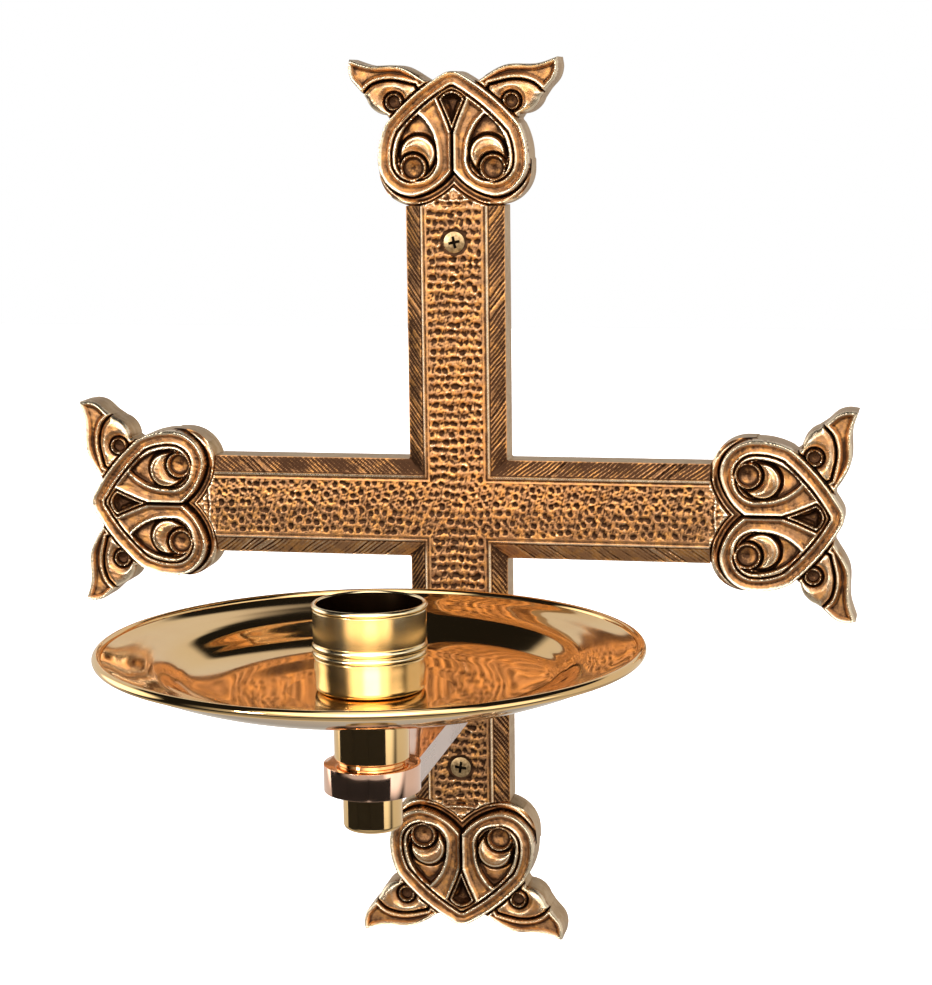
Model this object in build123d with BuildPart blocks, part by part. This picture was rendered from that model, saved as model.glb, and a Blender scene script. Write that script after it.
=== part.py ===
"""Wall-mounted sanctuary lamp: a cast cross that carries a candle holder on a bracket arm.

The frame: +Z is up, the wall is the plane Y = 0, and the room is on the -Y side. The origin
is the middle of the cross on the wall plane. All sizes are in millimetres.
"""

from build123d import *
import os

os.makedirs("parts", exist_ok=True)

# ---------------------------------------------------------------- driving dimensions

# The cross
REACH_SIDE = 122.5       # cross centre to the dimple line of the left and right finials
REACH_UP = 143.5         # cross centre to the dimple line of the top and bottom finials
BAR_WIDTH = 42.0
FIELD_WIDTH = 28.0       # the flat hammered band along the middle of each bar
EDGE_HEIGHT = 13.0       # wall to the outer edge of the bevel
FIELD_HEIGHT = 16.5      # wall to the hammered band
CAST_WALL = 5.0          # side walls left around the hollow back
HOLLOW_DEPTH = 10.5
CENTRE_PAD = 15.0        # radius of the pad behind the crossing

# The finials, measured outwards (u) and sideways (v) from the dimple line
LOBE = (17.1, 3.3)       # centre of a heart lobe, as (v, u)
LOBE_RADIUS = 14.7
HEART_TIP = 39.9
STEP_U = -15.5           # inner edge of the low step, where the finial meets the bar
STEP_RADIUS = 15.2
STEP_HEIGHT = 14.5       # wall to the top of the low step
WING_HEIGHT = 17.5
HEART_HEIGHT = 19.0
RECESS_DEPTH = 3.6
CURL_HEIGHT = 17.6
DIMPLE_RADIUS = 3.6
TENON_WIDTH = 24.0       # the bar's tongue that the finial laps over
TENON_HEIGHT = 7.0
TENON_LENGTH = 30.0
TENON_GAP = 0.3
CORED_DEPTH = 9.5        # the round pockets that lighten the back
CORED_POCKETS = [((-21.6, 1.5), 7.5), ((21.6, 1.5), 7.5), ((0, 25.0), 8.0)]  # (v, u) and radius

# Fasteners
THREAD_GAP = 0.05        # between a screw and its tapped hole
HOLE_GAP = 0.3           # between a screw and its clearance hole
HEAD_LAND = 0.25         # the upright edge of a countersunk head
WALL_SCREW_Z = 113.0     # the two wall screws, above and below the centre
WALL_SCREW_SHANK = 2.4   # inside the cross
WALL_SCREW_THREAD = 2.2  # the length that stands out of the back
WALL_SCREW_HEAD = 4.6
WALL_SCREW_LENGTH = 51.0
WALL_SCREW_POINT = 6.0
CROSS_SLOT = (5.6, 1.3, 1.9)  # length, width and depth of each cut of a cross recess
BOSS_WALL = 3.5
FINIAL_SCREW_RADIUS = 2.0
FINIAL_SCREW_HEAD = 4.0
FINIAL_SCREW_LENGTH = 13.0
FINIAL_SCREW_U = (-6.0, 8.0)
ARM_BOLT_RADIUS = 2.5
ARM_BOLT_X = 8.5
ARM_BOLT_LENGTH = 18.0
ARM_BOLT_FLATS = 8.0
ARM_BOLT_HEAD = 3.5
ARM_WASHER = (5.0, 1.0)  # radius and thickness
CLAMP_SCREW_RADIUS = 3.0
CLAMP_SCREW_HEAD = 6.0
CLAMP_SCREW_LENGTH = 22.0

# The bracket arm
HOLDER_REACH = 175.0     # wall to the holder's axis
ARM_TOP = -66.5
ARM_THICK = 10.0
ARM_WIDTH = 32.0
ARM_FOOT_WIDTH = 26.0
ARM_POCKET = 2.5         # depth of the seat for the arm's foot in the hammered band
EYE_RADIUS = 17.8
EYE_BORE = 11.0
EDGE_BREAK = 0.5

# The holder, turned about the vertical axis
SPIGOT_CLEARANCE = 0.08
SPIGOT_BOTTOM = -91.0
SPIGOT_ROUND = 2.0
COLUMN_RADIUS = 13.8
COLUMN_ROUND = 0.8
WASHER_RADIUS = 12.6
WASHER_THICK = 1.5
WASHER_CLEARANCE = 0.1
PAN_RADIUS = 100.0
PAN_RIM_Z = -23.8
PAN_BEAD = 1.8
PAN_FLOOR_Z = -41.0      # underside of the pan where it sits on the column
PAN_FLAT_RADIUS = 30.0
PAN_BEND = (80.0, -33.0)  # a point of the underside, half way up the dish
PAN_WALL = 2.0
SOCKET_TOP = -6.8
SOCKET_RADIUS = 20.7
SOCKET_LOWER_RADIUS = 20.3
SOCKET_BEAD_RADIUS = 21.1
SOCKET_BEAD = (-26.4, -21.0)  # lowest and highest point of the bead
SOCKET_LIP = 2.2         # height of the rolled lip
SOCKET_BORE = 19.3
SOCKET_FLOOR = 5.0
SOCKET_FOOT = 2.6        # rounding where the socket stands in the pan

# ---------------------------------------------------------------- placing

FRONT = Vector(0, -1, 0)
AXIS = Vector(0, -HOLDER_REACH, 0)
ARM_MIDDLE = ARM_TOP - ARM_THICK / 2
ARM_BOTTOM = ARM_TOP - ARM_THICK
COLUMN_BOTTOM = ARM_TOP + WASHER_THICK
SPIGOT_RADIUS = EYE_BORE - SPIGOT_CLEARANCE
SOCKET_BOTTOM = PAN_FLOOR_Z + PAN_WALL
SEAT_HEIGHT = FIELD_HEIGHT - ARM_POCKET

# Each finial: the way it points along the wall, and how far out its dimple line lies.
FINIALS = {
    "top": (Vector(0, 0, 1), REACH_UP),
    "bottom": (Vector(0, 0, -1), REACH_UP),
    "left": (Vector(-1, 0, 0), REACH_SIDE),
    "right": (Vector(1, 0, 0), REACH_SIDE),
}


def finial_plane(name, height=0.0):
    """The plane of one finial: local Y points outwards, and its normal away from the wall."""
    out, reach = FINIALS[name]
    return Plane(origin=out * reach + FRONT * height, x_dir=out.cross(FRONT), z_dir=FRONT)


def wall_plane(height, x=0.0, z=0.0):
    """A plane parallel to the wall, at a height in front of it, with local Y up."""
    return Plane(origin=(x, -height, z), x_dir=(1, 0, 0), z_dir=FRONT)


def back_plane(height, x=0.0, z=0.0):
    """The same plane seen from the wall, so that its normal points into the wall."""
    return Plane(origin=(x, -height, z), x_dir=(-1, 0, 0), z_dir=-FRONT)


def holder_plane():
    """The upright plane through the holder's axis: local X is the radius, local Y is up."""
    return Plane(origin=AXIS, x_dir=(1, 0, 0), z_dir=FRONT)


def level(z):
    """A horizontal plane centred on the holder's axis."""
    return Plane(origin=AXIS + Vector(0, 0, z), x_dir=(1, 0, 0), z_dir=(0, 0, 1))


TURNING_AXIS = Axis(AXIS, (0, 0, 1))


def finish(builder, label):
    """Names a finished piece and writes its STEP file."""
    builder.part.label = label
    export_step(builder.part, f"parts/{label}.step")


# ---------------------------------------------------------------- the cross

BAR_ENDS = {name: reach + STEP_U for name, (_, reach) in FINIALS.items()}
SCREW_PLANES = [wall_plane(FIELD_HEIGHT, z=z) for z in (WALL_SCREW_Z, -WALL_SCREW_Z)]


def bar_section():
    """A bar's cross section: upright edges, sloping bevels and the flat band."""
    half, band = BAR_WIDTH / 2, FIELD_WIDTH / 2
    with BuildSketch() as section:
        Polygon((-half, 0), (half, 0), (half, EDGE_HEIGHT), (band, FIELD_HEIGHT),
                (-band, FIELD_HEIGHT), (-half, EDGE_HEIGHT), align=None)
    return section.sketch


with BuildPart() as wall_cross:
    for name, (out, reach) in FINIALS.items():
        with BuildSketch(Plane(origin=(0, 0, 0), x_dir=FRONT.cross(out), z_dir=out)):
            add(bar_section())
        extrude(amount=BAR_ENDS[name])
        with BuildSketch(finial_plane(name)):
            with Locations((0, STEP_U + TENON_LENGTH / 2)):
                Rectangle(TENON_WIDTH, TENON_LENGTH)
        extrude(amount=TENON_HEIGHT)

    # The hollow back leaves a pad at the crossing and bosses for the wall screws.
    inner = BAR_WIDTH - 2 * CAST_WALL
    with BuildSketch(wall_plane(0)):
        Rectangle(inner, 2 * (BAR_ENDS["top"] - CAST_WALL))
        Rectangle(2 * (BAR_ENDS["left"] - CAST_WALL), inner)
        Circle(CENTRE_PAD, mode=Mode.SUBTRACT)
        with Locations((0, WALL_SCREW_Z), (0, -WALL_SCREW_Z)):
            Circle(WALL_SCREW_HEAD + BOSS_WALL, mode=Mode.SUBTRACT)
    extrude(amount=HOLLOW_DEPTH, mode=Mode.SUBTRACT)

    # Countersunk holes for the wall screws.
    with Locations(*SCREW_PLANES):
        CounterSinkHole(radius=WALL_SCREW_SHANK + HOLE_GAP, counter_sink_radius=WALL_SCREW_HEAD + HOLE_GAP,
                        depth=FIELD_HEIGHT, counter_sink_angle=90)

    # The seat for the arm's foot, and the holes of its two bolts.
    with BuildSketch(wall_plane(FIELD_HEIGHT, z=ARM_MIDDLE)):
        Rectangle(ARM_FOOT_WIDTH, ARM_THICK)
    extrude(amount=-ARM_POCKET, mode=Mode.SUBTRACT)
    with Locations(*[wall_plane(SEAT_HEIGHT, x, ARM_MIDDLE) for x in (-ARM_BOLT_X, ARM_BOLT_X)]):
        Hole(radius=ARM_BOLT_RADIUS + HOLE_GAP, depth=SEAT_HEIGHT)

    # Countersunk holes in the tongues, from the wall side, for the finial screws.
    for name, (out, reach) in FINIALS.items():
        places = [out * (reach + u) for u in FINIAL_SCREW_U]
        with Locations(*[back_plane(0, place.X, place.Z) for place in places]):
            CounterSinkHole(radius=FINIAL_SCREW_RADIUS + HOLE_GAP, counter_sink_angle=90,
                            counter_sink_radius=FINIAL_SCREW_HEAD + HOLE_GAP, depth=TENON_HEIGHT)
finish(wall_cross, "wall_cross")


# ---------------------------------------------------------------- the finials

def heart_outline():
    """Two round lobes that meet in a notch, and nearly straight sides up to a rounded tip."""
    (v, u), r = LOBE, LOBE_RADIUS
    with BuildSketch() as outline:
        with BuildLine():
            ThreePointArc((0, -0.6), (6.2, u - 10.2), (v, u - r))
            ThreePointArc((v, u - r), (v + 0.75 * r, u - 0.66 * r), (v + r, u))
            ThreePointArc((v + r, u), (v + r - 0.9, u + 8.5), (28.3, 18.5))
            ThreePointArc((28.3, 18.5), (16.9, 29.9), (4.0, HEART_TIP - 1.0))
            ThreePointArc((4.0, HEART_TIP - 1.0), (2.2, HEART_TIP - 0.2), (0, HEART_TIP))
            mirror(about=Plane.YZ)
        make_face()
    return outline.sketch


def step_outline():
    """The low step round the lobes, straight where it butts against the bar."""
    v, r = LOBE[0], STEP_RADIUS
    with BuildSketch() as outline:
        with BuildLine():
            Polyline((0, STEP_U), (v, STEP_U))
            JernArc((v, STEP_U), (1, 0), r, 90)
            Polyline((v + r, STEP_U + r), (v + r, LOBE[1]), (24.0, 20.0), (0, 20.0))
            mirror(about=Plane.YZ)
        make_face()
    return outline.sketch


def wing_outline():
    """A long pointed leaf that sweeps outwards, with a smaller rounded leaf below it."""
    with BuildSketch() as outline:
        with BuildLine():
            Polyline((0, 18.0), (25.5, 18.0), (28.2, 22.0))
            ThreePointArc((28.2, 22.0), (34.6, 25.0), (36.0, 31.6))
            Spline((36.0, 31.6), (41.6, 36.2), (44.2, 45.2))
            Spline((44.2, 45.2), (35.0, 42.6), (22.0, 42.2), (11.0, 36.2))
            Line((11.0, 36.2), (0, 36.2))
            mirror(about=Plane.YZ)
        make_face()
    return outline.sketch


def teardrop():
    """The hollow of one lobe: round at the bottom, drawn to a point at the top."""
    with BuildSketch() as outline:
        with BuildLine():
            ThreePointArc((6.4, 5.5), (15.6, -5.2), (24.0, 5.5))
            ThreePointArc((24.0, 5.5), (21.2, 14.8), (14.0, 22.4))
            ThreePointArc((14.0, 22.4), (8.4, 15.0), (6.4, 5.5))
        make_face()
    return outline.sketch


def fan_hollow():
    """The three-cornered hollow between the two stems, under the heart's tip."""
    with BuildSketch() as outline:
        with BuildLine():
            Polyline((0, 15.6), (5.2, 28.4))
            ThreePointArc((5.2, 28.4), (2.8, 31.0), (0, 31.9))
            mirror(about=Plane.YZ)
        make_face()
    return outline.sketch


for name in FINIALS:
    with BuildPart() as finial:
        with BuildSketch(finial_plane(name)):
            add(step_outline())
        extrude(amount=STEP_HEIGHT)
        with BuildSketch(finial_plane(name)):
            add(wing_outline())
        extrude(amount=WING_HEIGHT)
        with BuildSketch(finial_plane(name)):
            add(heart_outline())
        extrude(amount=HEART_HEIGHT)
        # The carved front: two teardrops with a raised curl in each, and the hollow between them.
        with BuildSketch(finial_plane(name, HEART_HEIGHT)):
            add(teardrop())
            mirror(teardrop(), about=Plane.YZ)
            add(fan_hollow())
        extrude(amount=-RECESS_DEPTH, mode=Mode.SUBTRACT)
        with BuildSketch(finial_plane(name, HEART_HEIGHT - RECESS_DEPTH)):
            with Locations((-16.0, 3.5), (16.0, 3.5)):
                Circle(DIMPLE_RADIUS + 3.6)
        extrude(amount=CURL_HEIGHT - HEART_HEIGHT + RECESS_DEPTH)
        with BuildSketch(finial_plane(name, CURL_HEIGHT)):
            with Locations((-16.4, 0.8), (16.4, 0.8)):
                Circle(DIMPLE_RADIUS)
        extrude(amount=HEART_HEIGHT - RECESS_DEPTH - CURL_HEIGHT, mode=Mode.SUBTRACT)
        # The slot in the back that takes the bar's tongue, and the tapped holes above it.
        slot_length = TENON_LENGTH + TENON_GAP
        with BuildSketch(finial_plane(name)):
            with Locations((0, STEP_U + slot_length / 2)):
                Rectangle(TENON_WIDTH + 2 * TENON_GAP, slot_length)
        extrude(amount=TENON_HEIGHT, mode=Mode.SUBTRACT)
        with BuildSketch(finial_plane(name)):
            for place, radius in CORED_POCKETS:
                with Locations(place):
                    Circle(radius)
        extrude(amount=CORED_DEPTH, mode=Mode.SUBTRACT)
        with BuildSketch(finial_plane(name, TENON_HEIGHT)):
            with Locations(*[(0, u) for u in FINIAL_SCREW_U]):
                Circle(FINIAL_SCREW_RADIUS)
        extrude(amount=FINIAL_SCREW_LENGTH - TENON_HEIGHT + 0.5, mode=Mode.SUBTRACT)
    finish(finial, f"finial_{name}")


# ---------------------------------------------------------------- screws and bolts

def countersunk_screw(shank, head, length):
    """Half the outline of a countersunk screw: its head on local Y = 0, its tip below."""
    with BuildSketch() as profile:
        Polygon((0, 0), (head, 0), (head, -HEAD_LAND), (shank, shank - head - HEAD_LAND),
                (shank, -length + 0.6), (shank - 0.6, -length), (0, -length), align=None)
    return profile.sketch


with BuildPart() as finial_screws:
    for name, (out, reach) in FINIALS.items():
        for u in FINIAL_SCREW_U:
            foot = out * (reach + u)
            # Local Y points into the wall, so the head lies flush with the wall side.
            with BuildSketch(Plane(origin=foot, x_dir=out, z_dir=out.cross(-FRONT))):
                add(countersunk_screw(FINIAL_SCREW_RADIUS - THREAD_GAP, FINIAL_SCREW_HEAD,
                                      FINIAL_SCREW_LENGTH))
            revolve(axis=Axis(foot, -FRONT))
finish(finial_screws, "finial_screws")

with BuildPart() as wall_screws:
    for z in (WALL_SCREW_Z, -WALL_SCREW_Z):
        head = Vector(0, -FIELD_HEIGHT, z)
        with BuildSketch(Plane(origin=head, x_dir=(1, 0, 0), z_dir=(0, 0, -1))):
            with BuildLine():
                Polyline((0, 0), (WALL_SCREW_HEAD, 0), (WALL_SCREW_HEAD, -HEAD_LAND),
                         (WALL_SCREW_SHANK, WALL_SCREW_SHANK - WALL_SCREW_HEAD - HEAD_LAND),
                         (WALL_SCREW_SHANK, -FIELD_HEIGHT), (WALL_SCREW_THREAD, -FIELD_HEIGHT),
                         (WALL_SCREW_THREAD, WALL_SCREW_POINT - WALL_SCREW_LENGTH),
                         (0, -WALL_SCREW_LENGTH), close=True)
            make_face()
        revolve(axis=Axis(head, FRONT))
        length, width, depth = CROSS_SLOT
        with BuildSketch(wall_plane(FIELD_HEIGHT, z=z)):
            Rectangle(length, width)
            Rectangle(width, length)
        extrude(amount=-depth, mode=Mode.SUBTRACT)
finish(wall_screws, "wall_screws")

with BuildPart() as arm_bolt_washers:
    radius, thick = ARM_WASHER
    with BuildSketch(wall_plane(HOLLOW_DEPTH - thick, z=ARM_MIDDLE)):
        with Locations((-ARM_BOLT_X, 0), (ARM_BOLT_X, 0)):
            Circle(radius)
            Circle(ARM_BOLT_RADIUS + HOLE_GAP, mode=Mode.SUBTRACT)
    extrude(amount=thick)
finish(arm_bolt_washers, "arm_bolt_washers")

with BuildPart() as arm_bolts:
    under_head = HOLLOW_DEPTH - ARM_WASHER[1]
    with BuildSketch(wall_plane(under_head - ARM_BOLT_HEAD, z=ARM_MIDDLE)):
        with Locations((-ARM_BOLT_X, 0), (ARM_BOLT_X, 0)):
            RegularPolygon(ARM_BOLT_FLATS / 2, 6, major_radius=False)
    extrude(amount=ARM_BOLT_HEAD)
    with BuildSketch(wall_plane(under_head, z=ARM_MIDDLE)):
        with Locations((-ARM_BOLT_X, 0), (ARM_BOLT_X, 0)):
            Circle(ARM_BOLT_RADIUS - THREAD_GAP)
    extrude(amount=ARM_BOLT_LENGTH)
finish(arm_bolts, "arm_bolts")


# ---------------------------------------------------------------- the bracket arm

with BuildPart() as bracket_arm:
    with BuildSketch(Plane.XY.offset(ARM_BOTTOM)):
        with Locations((0, -(FIELD_HEIGHT + HOLDER_REACH) / 2)):
            Rectangle(ARM_WIDTH, HOLDER_REACH - FIELD_HEIGHT)
        with Locations((0, -HOLDER_REACH)):
            Circle(EYE_RADIUS)
    extrude(amount=ARM_THICK)
    chamfer(bracket_arm.faces().filter_by(Axis.Z).edges(), length=EDGE_BREAK)
    with Locations(level(ARM_TOP)):
        Hole(radius=EYE_BORE, depth=ARM_THICK)
    with BuildSketch(wall_plane(FIELD_HEIGHT, z=ARM_MIDDLE)):
        Rectangle(ARM_FOOT_WIDTH - HOLE_GAP, ARM_THICK - HOLE_GAP)
    extrude(amount=-ARM_POCKET)
    # Blind tapped holes in the foot, open towards the wall.
    tapped = under_head + ARM_BOLT_LENGTH - SEAT_HEIGHT + 1.0
    with BuildSketch(wall_plane(SEAT_HEIGHT, z=ARM_MIDDLE)):
        with Locations((-ARM_BOLT_X, 0), (ARM_BOLT_X, 0)):
            Circle(ARM_BOLT_RADIUS)
    extrude(amount=tapped, mode=Mode.SUBTRACT)
finish(bracket_arm, "bracket_arm")


# ---------------------------------------------------------------- the holder

with BuildPart() as thrust_washer:
    with BuildSketch(level(ARM_TOP)):
        Circle(WASHER_RADIUS)
        Circle(SPIGOT_RADIUS + WASHER_CLEARANCE, mode=Mode.SUBTRACT)
    extrude(amount=WASHER_THICK)
finish(thrust_washer, "thrust_washer")

with BuildPart() as holder_stem:
    with BuildSketch(level(COLUMN_BOTTOM)):
        Circle(COLUMN_RADIUS)
    extrude(amount=PAN_FLOOR_Z - COLUMN_BOTTOM)
    fillet(holder_stem.edges().group_by(Axis.Z)[0], radius=COLUMN_ROUND)
    with BuildSketch(level(SPIGOT_BOTTOM)):
        Circle(SPIGOT_RADIUS)
    extrude(amount=COLUMN_BOTTOM - SPIGOT_BOTTOM)
    fillet(holder_stem.edges().group_by(Axis.Z)[0], radius=SPIGOT_ROUND)
    # Blind tapped hole for the clamp screw.
    with Locations(level(PAN_FLOOR_Z)):
        Hole(radius=CLAMP_SCREW_RADIUS, depth=CLAMP_SCREW_LENGTH - SOCKET_FLOOR)
finish(holder_stem, "holder_stem")

with BuildPart() as drip_pan:
    hole = CLAMP_SCREW_RADIUS + HOLE_GAP
    bead = (PAN_RADIUS - PAN_BEAD, PAN_RIM_Z)
    bend_v, bend_z = PAN_BEND
    with BuildSketch(holder_plane()):
        with BuildLine():
            Polyline((hole, PAN_FLOOR_Z), (PAN_FLAT_RADIUS, PAN_FLOOR_Z))
            ThreePointArc((PAN_FLAT_RADIUS, PAN_FLOOR_Z), PAN_BEND, (bead[0] - 0.5, bead[1] - PAN_BEAD + 0.1))
            Polyline((bead[0] - 0.5, bead[1] - PAN_BEAD + 0.1), (bead[0] - 1.4, bead[1] + 0.4))
            ThreePointArc((bead[0] - 1.4, bead[1] + 0.4), (bend_v - 0.9, bend_z + PAN_WALL),
                          (PAN_FLAT_RADIUS, PAN_FLOOR_Z + PAN_WALL))
            Polyline((PAN_FLAT_RADIUS, PAN_FLOOR_Z + PAN_WALL), (hole, PAN_FLOOR_Z + PAN_WALL),
                     (hole, PAN_FLOOR_Z))
        make_face()
        with Locations(bead):
            Circle(PAN_BEAD)
    revolve(axis=TURNING_AXIS)
finish(drip_pan, "drip_pan")

with BuildPart() as candle_socket:
    lip_bottom = SOCKET_TOP - SOCKET_LIP
    low, high = SOCKET_BEAD
    foot = SOCKET_LOWER_RADIUS - SOCKET_FOOT
    seat = SOCKET_BOTTOM + SOCKET_FLOOR
    with BuildSketch(holder_plane()):
        with BuildLine():
            Polyline((0, SOCKET_BOTTOM), (foot, SOCKET_BOTTOM))
            JernArc((foot, SOCKET_BOTTOM), (1, 0), SOCKET_FOOT, 90)
            Polyline((SOCKET_LOWER_RADIUS, SOCKET_BOTTOM + SOCKET_FOOT), (SOCKET_LOWER_RADIUS, low))
            ThreePointArc((SOCKET_LOWER_RADIUS, low), (SOCKET_BEAD_RADIUS, (low + high) / 2),
                          (SOCKET_RADIUS, high))
            Polyline((SOCKET_RADIUS, high), (SOCKET_RADIUS, lip_bottom))
            ThreePointArc((SOCKET_RADIUS, lip_bottom), (SOCKET_RADIUS + 0.4, lip_bottom + SOCKET_LIP / 2),
                          (SOCKET_RADIUS - 0.4, SOCKET_TOP))
            Polyline((SOCKET_RADIUS - 0.4, SOCKET_TOP), (SOCKET_BORE, SOCKET_TOP), (SOCKET_BORE, seat),
                     (0, seat), (0, SOCKET_BOTTOM))
        make_face()
    revolve(axis=TURNING_AXIS)
    with Locations(level(seat)):
        CounterSinkHole(radius=CLAMP_SCREW_RADIUS + HOLE_GAP, depth=SOCKET_FLOOR, counter_sink_angle=90,
                        counter_sink_radius=CLAMP_SCREW_HEAD + HOLE_GAP)
finish(candle_socket, "candle_socket")

with BuildPart() as clamp_screw:
    top = AXIS + Vector(0, 0, seat)
    with BuildSketch(Plane(origin=top, x_dir=(1, 0, 0), z_dir=FRONT)):
        add(countersunk_screw(CLAMP_SCREW_RADIUS - THREAD_GAP, CLAMP_SCREW_HEAD, CLAMP_SCREW_LENGTH - 1.0))
    revolve(axis=TURNING_AXIS)
    with BuildSketch(level(seat)):
        Rectangle(3 * CLAMP_SCREW_HEAD, 1.4)
    extrude(amount=-1.5, mode=Mode.SUBTRACT)
finish(clamp_screw, "clamp_screw")
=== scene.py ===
"""Looks for a wall-mounted sanctuary lamp: a cast bronze cross with a polished candle holder.

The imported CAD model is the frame. The carved castings are shaped here as fine grids whose points
are lifted by a height that follows a few drawn curves, the turned pieces are spun from profiles,
and every surface gets a procedural finish. Lengths in the classes are millimetres, as on a
maker's drawing; meshes are in metres.
"""

import logging
import math
from dataclasses import dataclass, field
from enum import Enum
from typing import Callable, ClassVar, Iterable, Sequence

import bpy
import numpy as np
from mathutils import Euler, Matrix, Vector


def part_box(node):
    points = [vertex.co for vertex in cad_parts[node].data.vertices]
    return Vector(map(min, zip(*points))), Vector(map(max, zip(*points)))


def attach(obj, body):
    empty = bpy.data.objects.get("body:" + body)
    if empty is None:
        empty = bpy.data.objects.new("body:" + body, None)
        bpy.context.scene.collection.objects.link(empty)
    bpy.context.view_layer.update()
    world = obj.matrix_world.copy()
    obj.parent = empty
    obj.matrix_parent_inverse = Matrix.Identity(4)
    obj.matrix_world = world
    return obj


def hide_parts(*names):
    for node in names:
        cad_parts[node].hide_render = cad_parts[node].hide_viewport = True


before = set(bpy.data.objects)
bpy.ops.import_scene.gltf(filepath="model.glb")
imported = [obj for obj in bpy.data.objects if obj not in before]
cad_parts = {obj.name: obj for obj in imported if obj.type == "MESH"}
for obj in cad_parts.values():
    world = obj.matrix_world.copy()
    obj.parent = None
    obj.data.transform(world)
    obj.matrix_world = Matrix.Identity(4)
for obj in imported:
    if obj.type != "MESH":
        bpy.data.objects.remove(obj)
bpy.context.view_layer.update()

LOG = logging.getLogger("sanctuary_lamp")
MM = 0.001
Array = np.ndarray


def node_box(name: str) -> tuple[Vector, Vector]:
    """Lowest and highest corner of a CAD node, in millimetres."""
    low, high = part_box(name)
    return Vector(low) / MM, Vector(high) / MM


# ---------------------------------------------------------------- drawing in the plane


def arc(start: Sequence[float], through: Sequence[float], end: Sequence[float], steps: int = 16) -> Array:
    """Points on the circular arc through three points, without its last point.

    Args:
        start: first point.
        through: a point of the arc between its ends.
        end: last point.
        steps: how many chords the arc is cut into.

    Returns:
        An array of points, steps by 2.
    """
    a, b, c = (np.array(p, float) for p in (start, through, end))
    centre = np.linalg.solve(2 * np.array([b - a, c - a]), np.array([b @ b - a @ a, c @ c - a @ a]))
    angles = np.unwrap([math.atan2(*(p - centre)[::-1]) for p in (a, b, c)])
    if abs(angles[2] - angles[0]) > 2 * math.pi:
        angles[2] -= math.copysign(2 * math.pi, angles[2] - angles[0])
    turn = np.linspace(angles[0], angles[2], steps + 1)[:-1]
    return centre + np.linalg.norm(a - centre) * np.c_[np.cos(turn), np.sin(turn)]


def bow(points: Sequence[Sequence[float]], steps: int = 8) -> Array:
    """A smooth curve through all the points (Catmull-Rom), without its last point."""
    p = np.array(points, float)
    p = np.vstack([2 * p[0] - p[1], p, 2 * p[-1] - p[-2]])
    t = np.linspace(0, 1, steps + 1)[:-1, None]
    spans = [
        0.5 * (2 * b + (c - a) * t + (2 * a - 5 * b + 4 * c - d) * t**2 + (3 * b - a - 3 * c + d) * t**3)
        for a, b, c, d in zip(p[:-3], p[1:-2], p[2:-1], p[3:])
    ]
    return np.vstack(spans)


@dataclass(frozen=True)
class Outline:
    """A closed or open run of points in the plane, in millimetres."""

    points: Array
    closed: bool = True

    @classmethod
    def mirrored(cls, half: Array) -> "Outline":
        """A closed outline from its right half, drawn from the middle line to the middle line."""
        other = half[::-1] * np.array([-1, 1])
        return cls(np.vstack([half, other[(np.abs(other[:, 0]) > 1e-6)]]))

    def nearest(self, p: Array) -> tuple[Array, Array]:
        """Distance from each point to the outline, and the nearest place on it.

        Args:
            p: points, n by 2.

        Returns:
            The distances, and the nearest places, n by 2.
        """
        a = self.points
        b = np.roll(a, -1, axis=0)
        if not self.closed:
            a, b = a[:-1], b[:-1]
        best = np.full(len(p), np.inf)
        place = np.zeros_like(p)
        for start, end in zip(a, b):
            way = end - start
            t = np.clip(((p - start) @ way) / max(way @ way, 1e-12), 0, 1)
            on = start + t[:, None] * way
            d = np.einsum("ij,ij->i", p - on, p - on)
            closer = d < best
            best[closer] = d[closer]
            place[closer] = on[closer]
        return np.sqrt(best), place

    def holds(self, p: Array) -> Array:
        """Which points lie inside the closed outline."""
        inside = np.zeros(len(p), bool)
        for (ax, ay), (bx, by) in zip(self.points, np.roll(self.points, -1, axis=0)):
            crosses = (ay > p[:, 1]) != (by > p[:, 1])
            if ay != by:
                inside ^= crosses & (p[:, 0] < (bx - ax) * (p[:, 1] - ay) / (by - ay) + ax)
        return inside

    def depth(self, p: Array) -> Array:
        """Distance to the outline, positive inside it and negative outside."""
        distance, _ = self.nearest(p)
        return np.where(self.holds(p), distance, -distance)


def ease(x: Array, low: float, high: float) -> Array:
    """0 below low, 1 above high, and a smooth slope between them."""
    t = np.clip((x - low) / (high - low), 0, 1)
    return t * t * (3 - 2 * t)


def ridge(x: Array, middle: float, width: float) -> Array:
    """A rounded bump of height 1 at middle, gone at one width either side."""
    return ease(1 - np.abs(x - middle) / width, 0, 1)


def soften(grid: Array, radius: float) -> Array:
    """A grid of heights blurred over a number of cells."""
    reach = max(int(3 * radius), 1)
    weights = np.exp(-0.5 * (np.arange(-reach, reach + 1) / radius) ** 2)
    weights /= weights.sum()
    out = np.pad(grid, reach, mode="edge")
    for axis in (0, 1):
        out = np.apply_along_axis(np.convolve, axis, out, weights, "valid")
    return out


# ---------------------------------------------------------------- shader graphs


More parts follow.
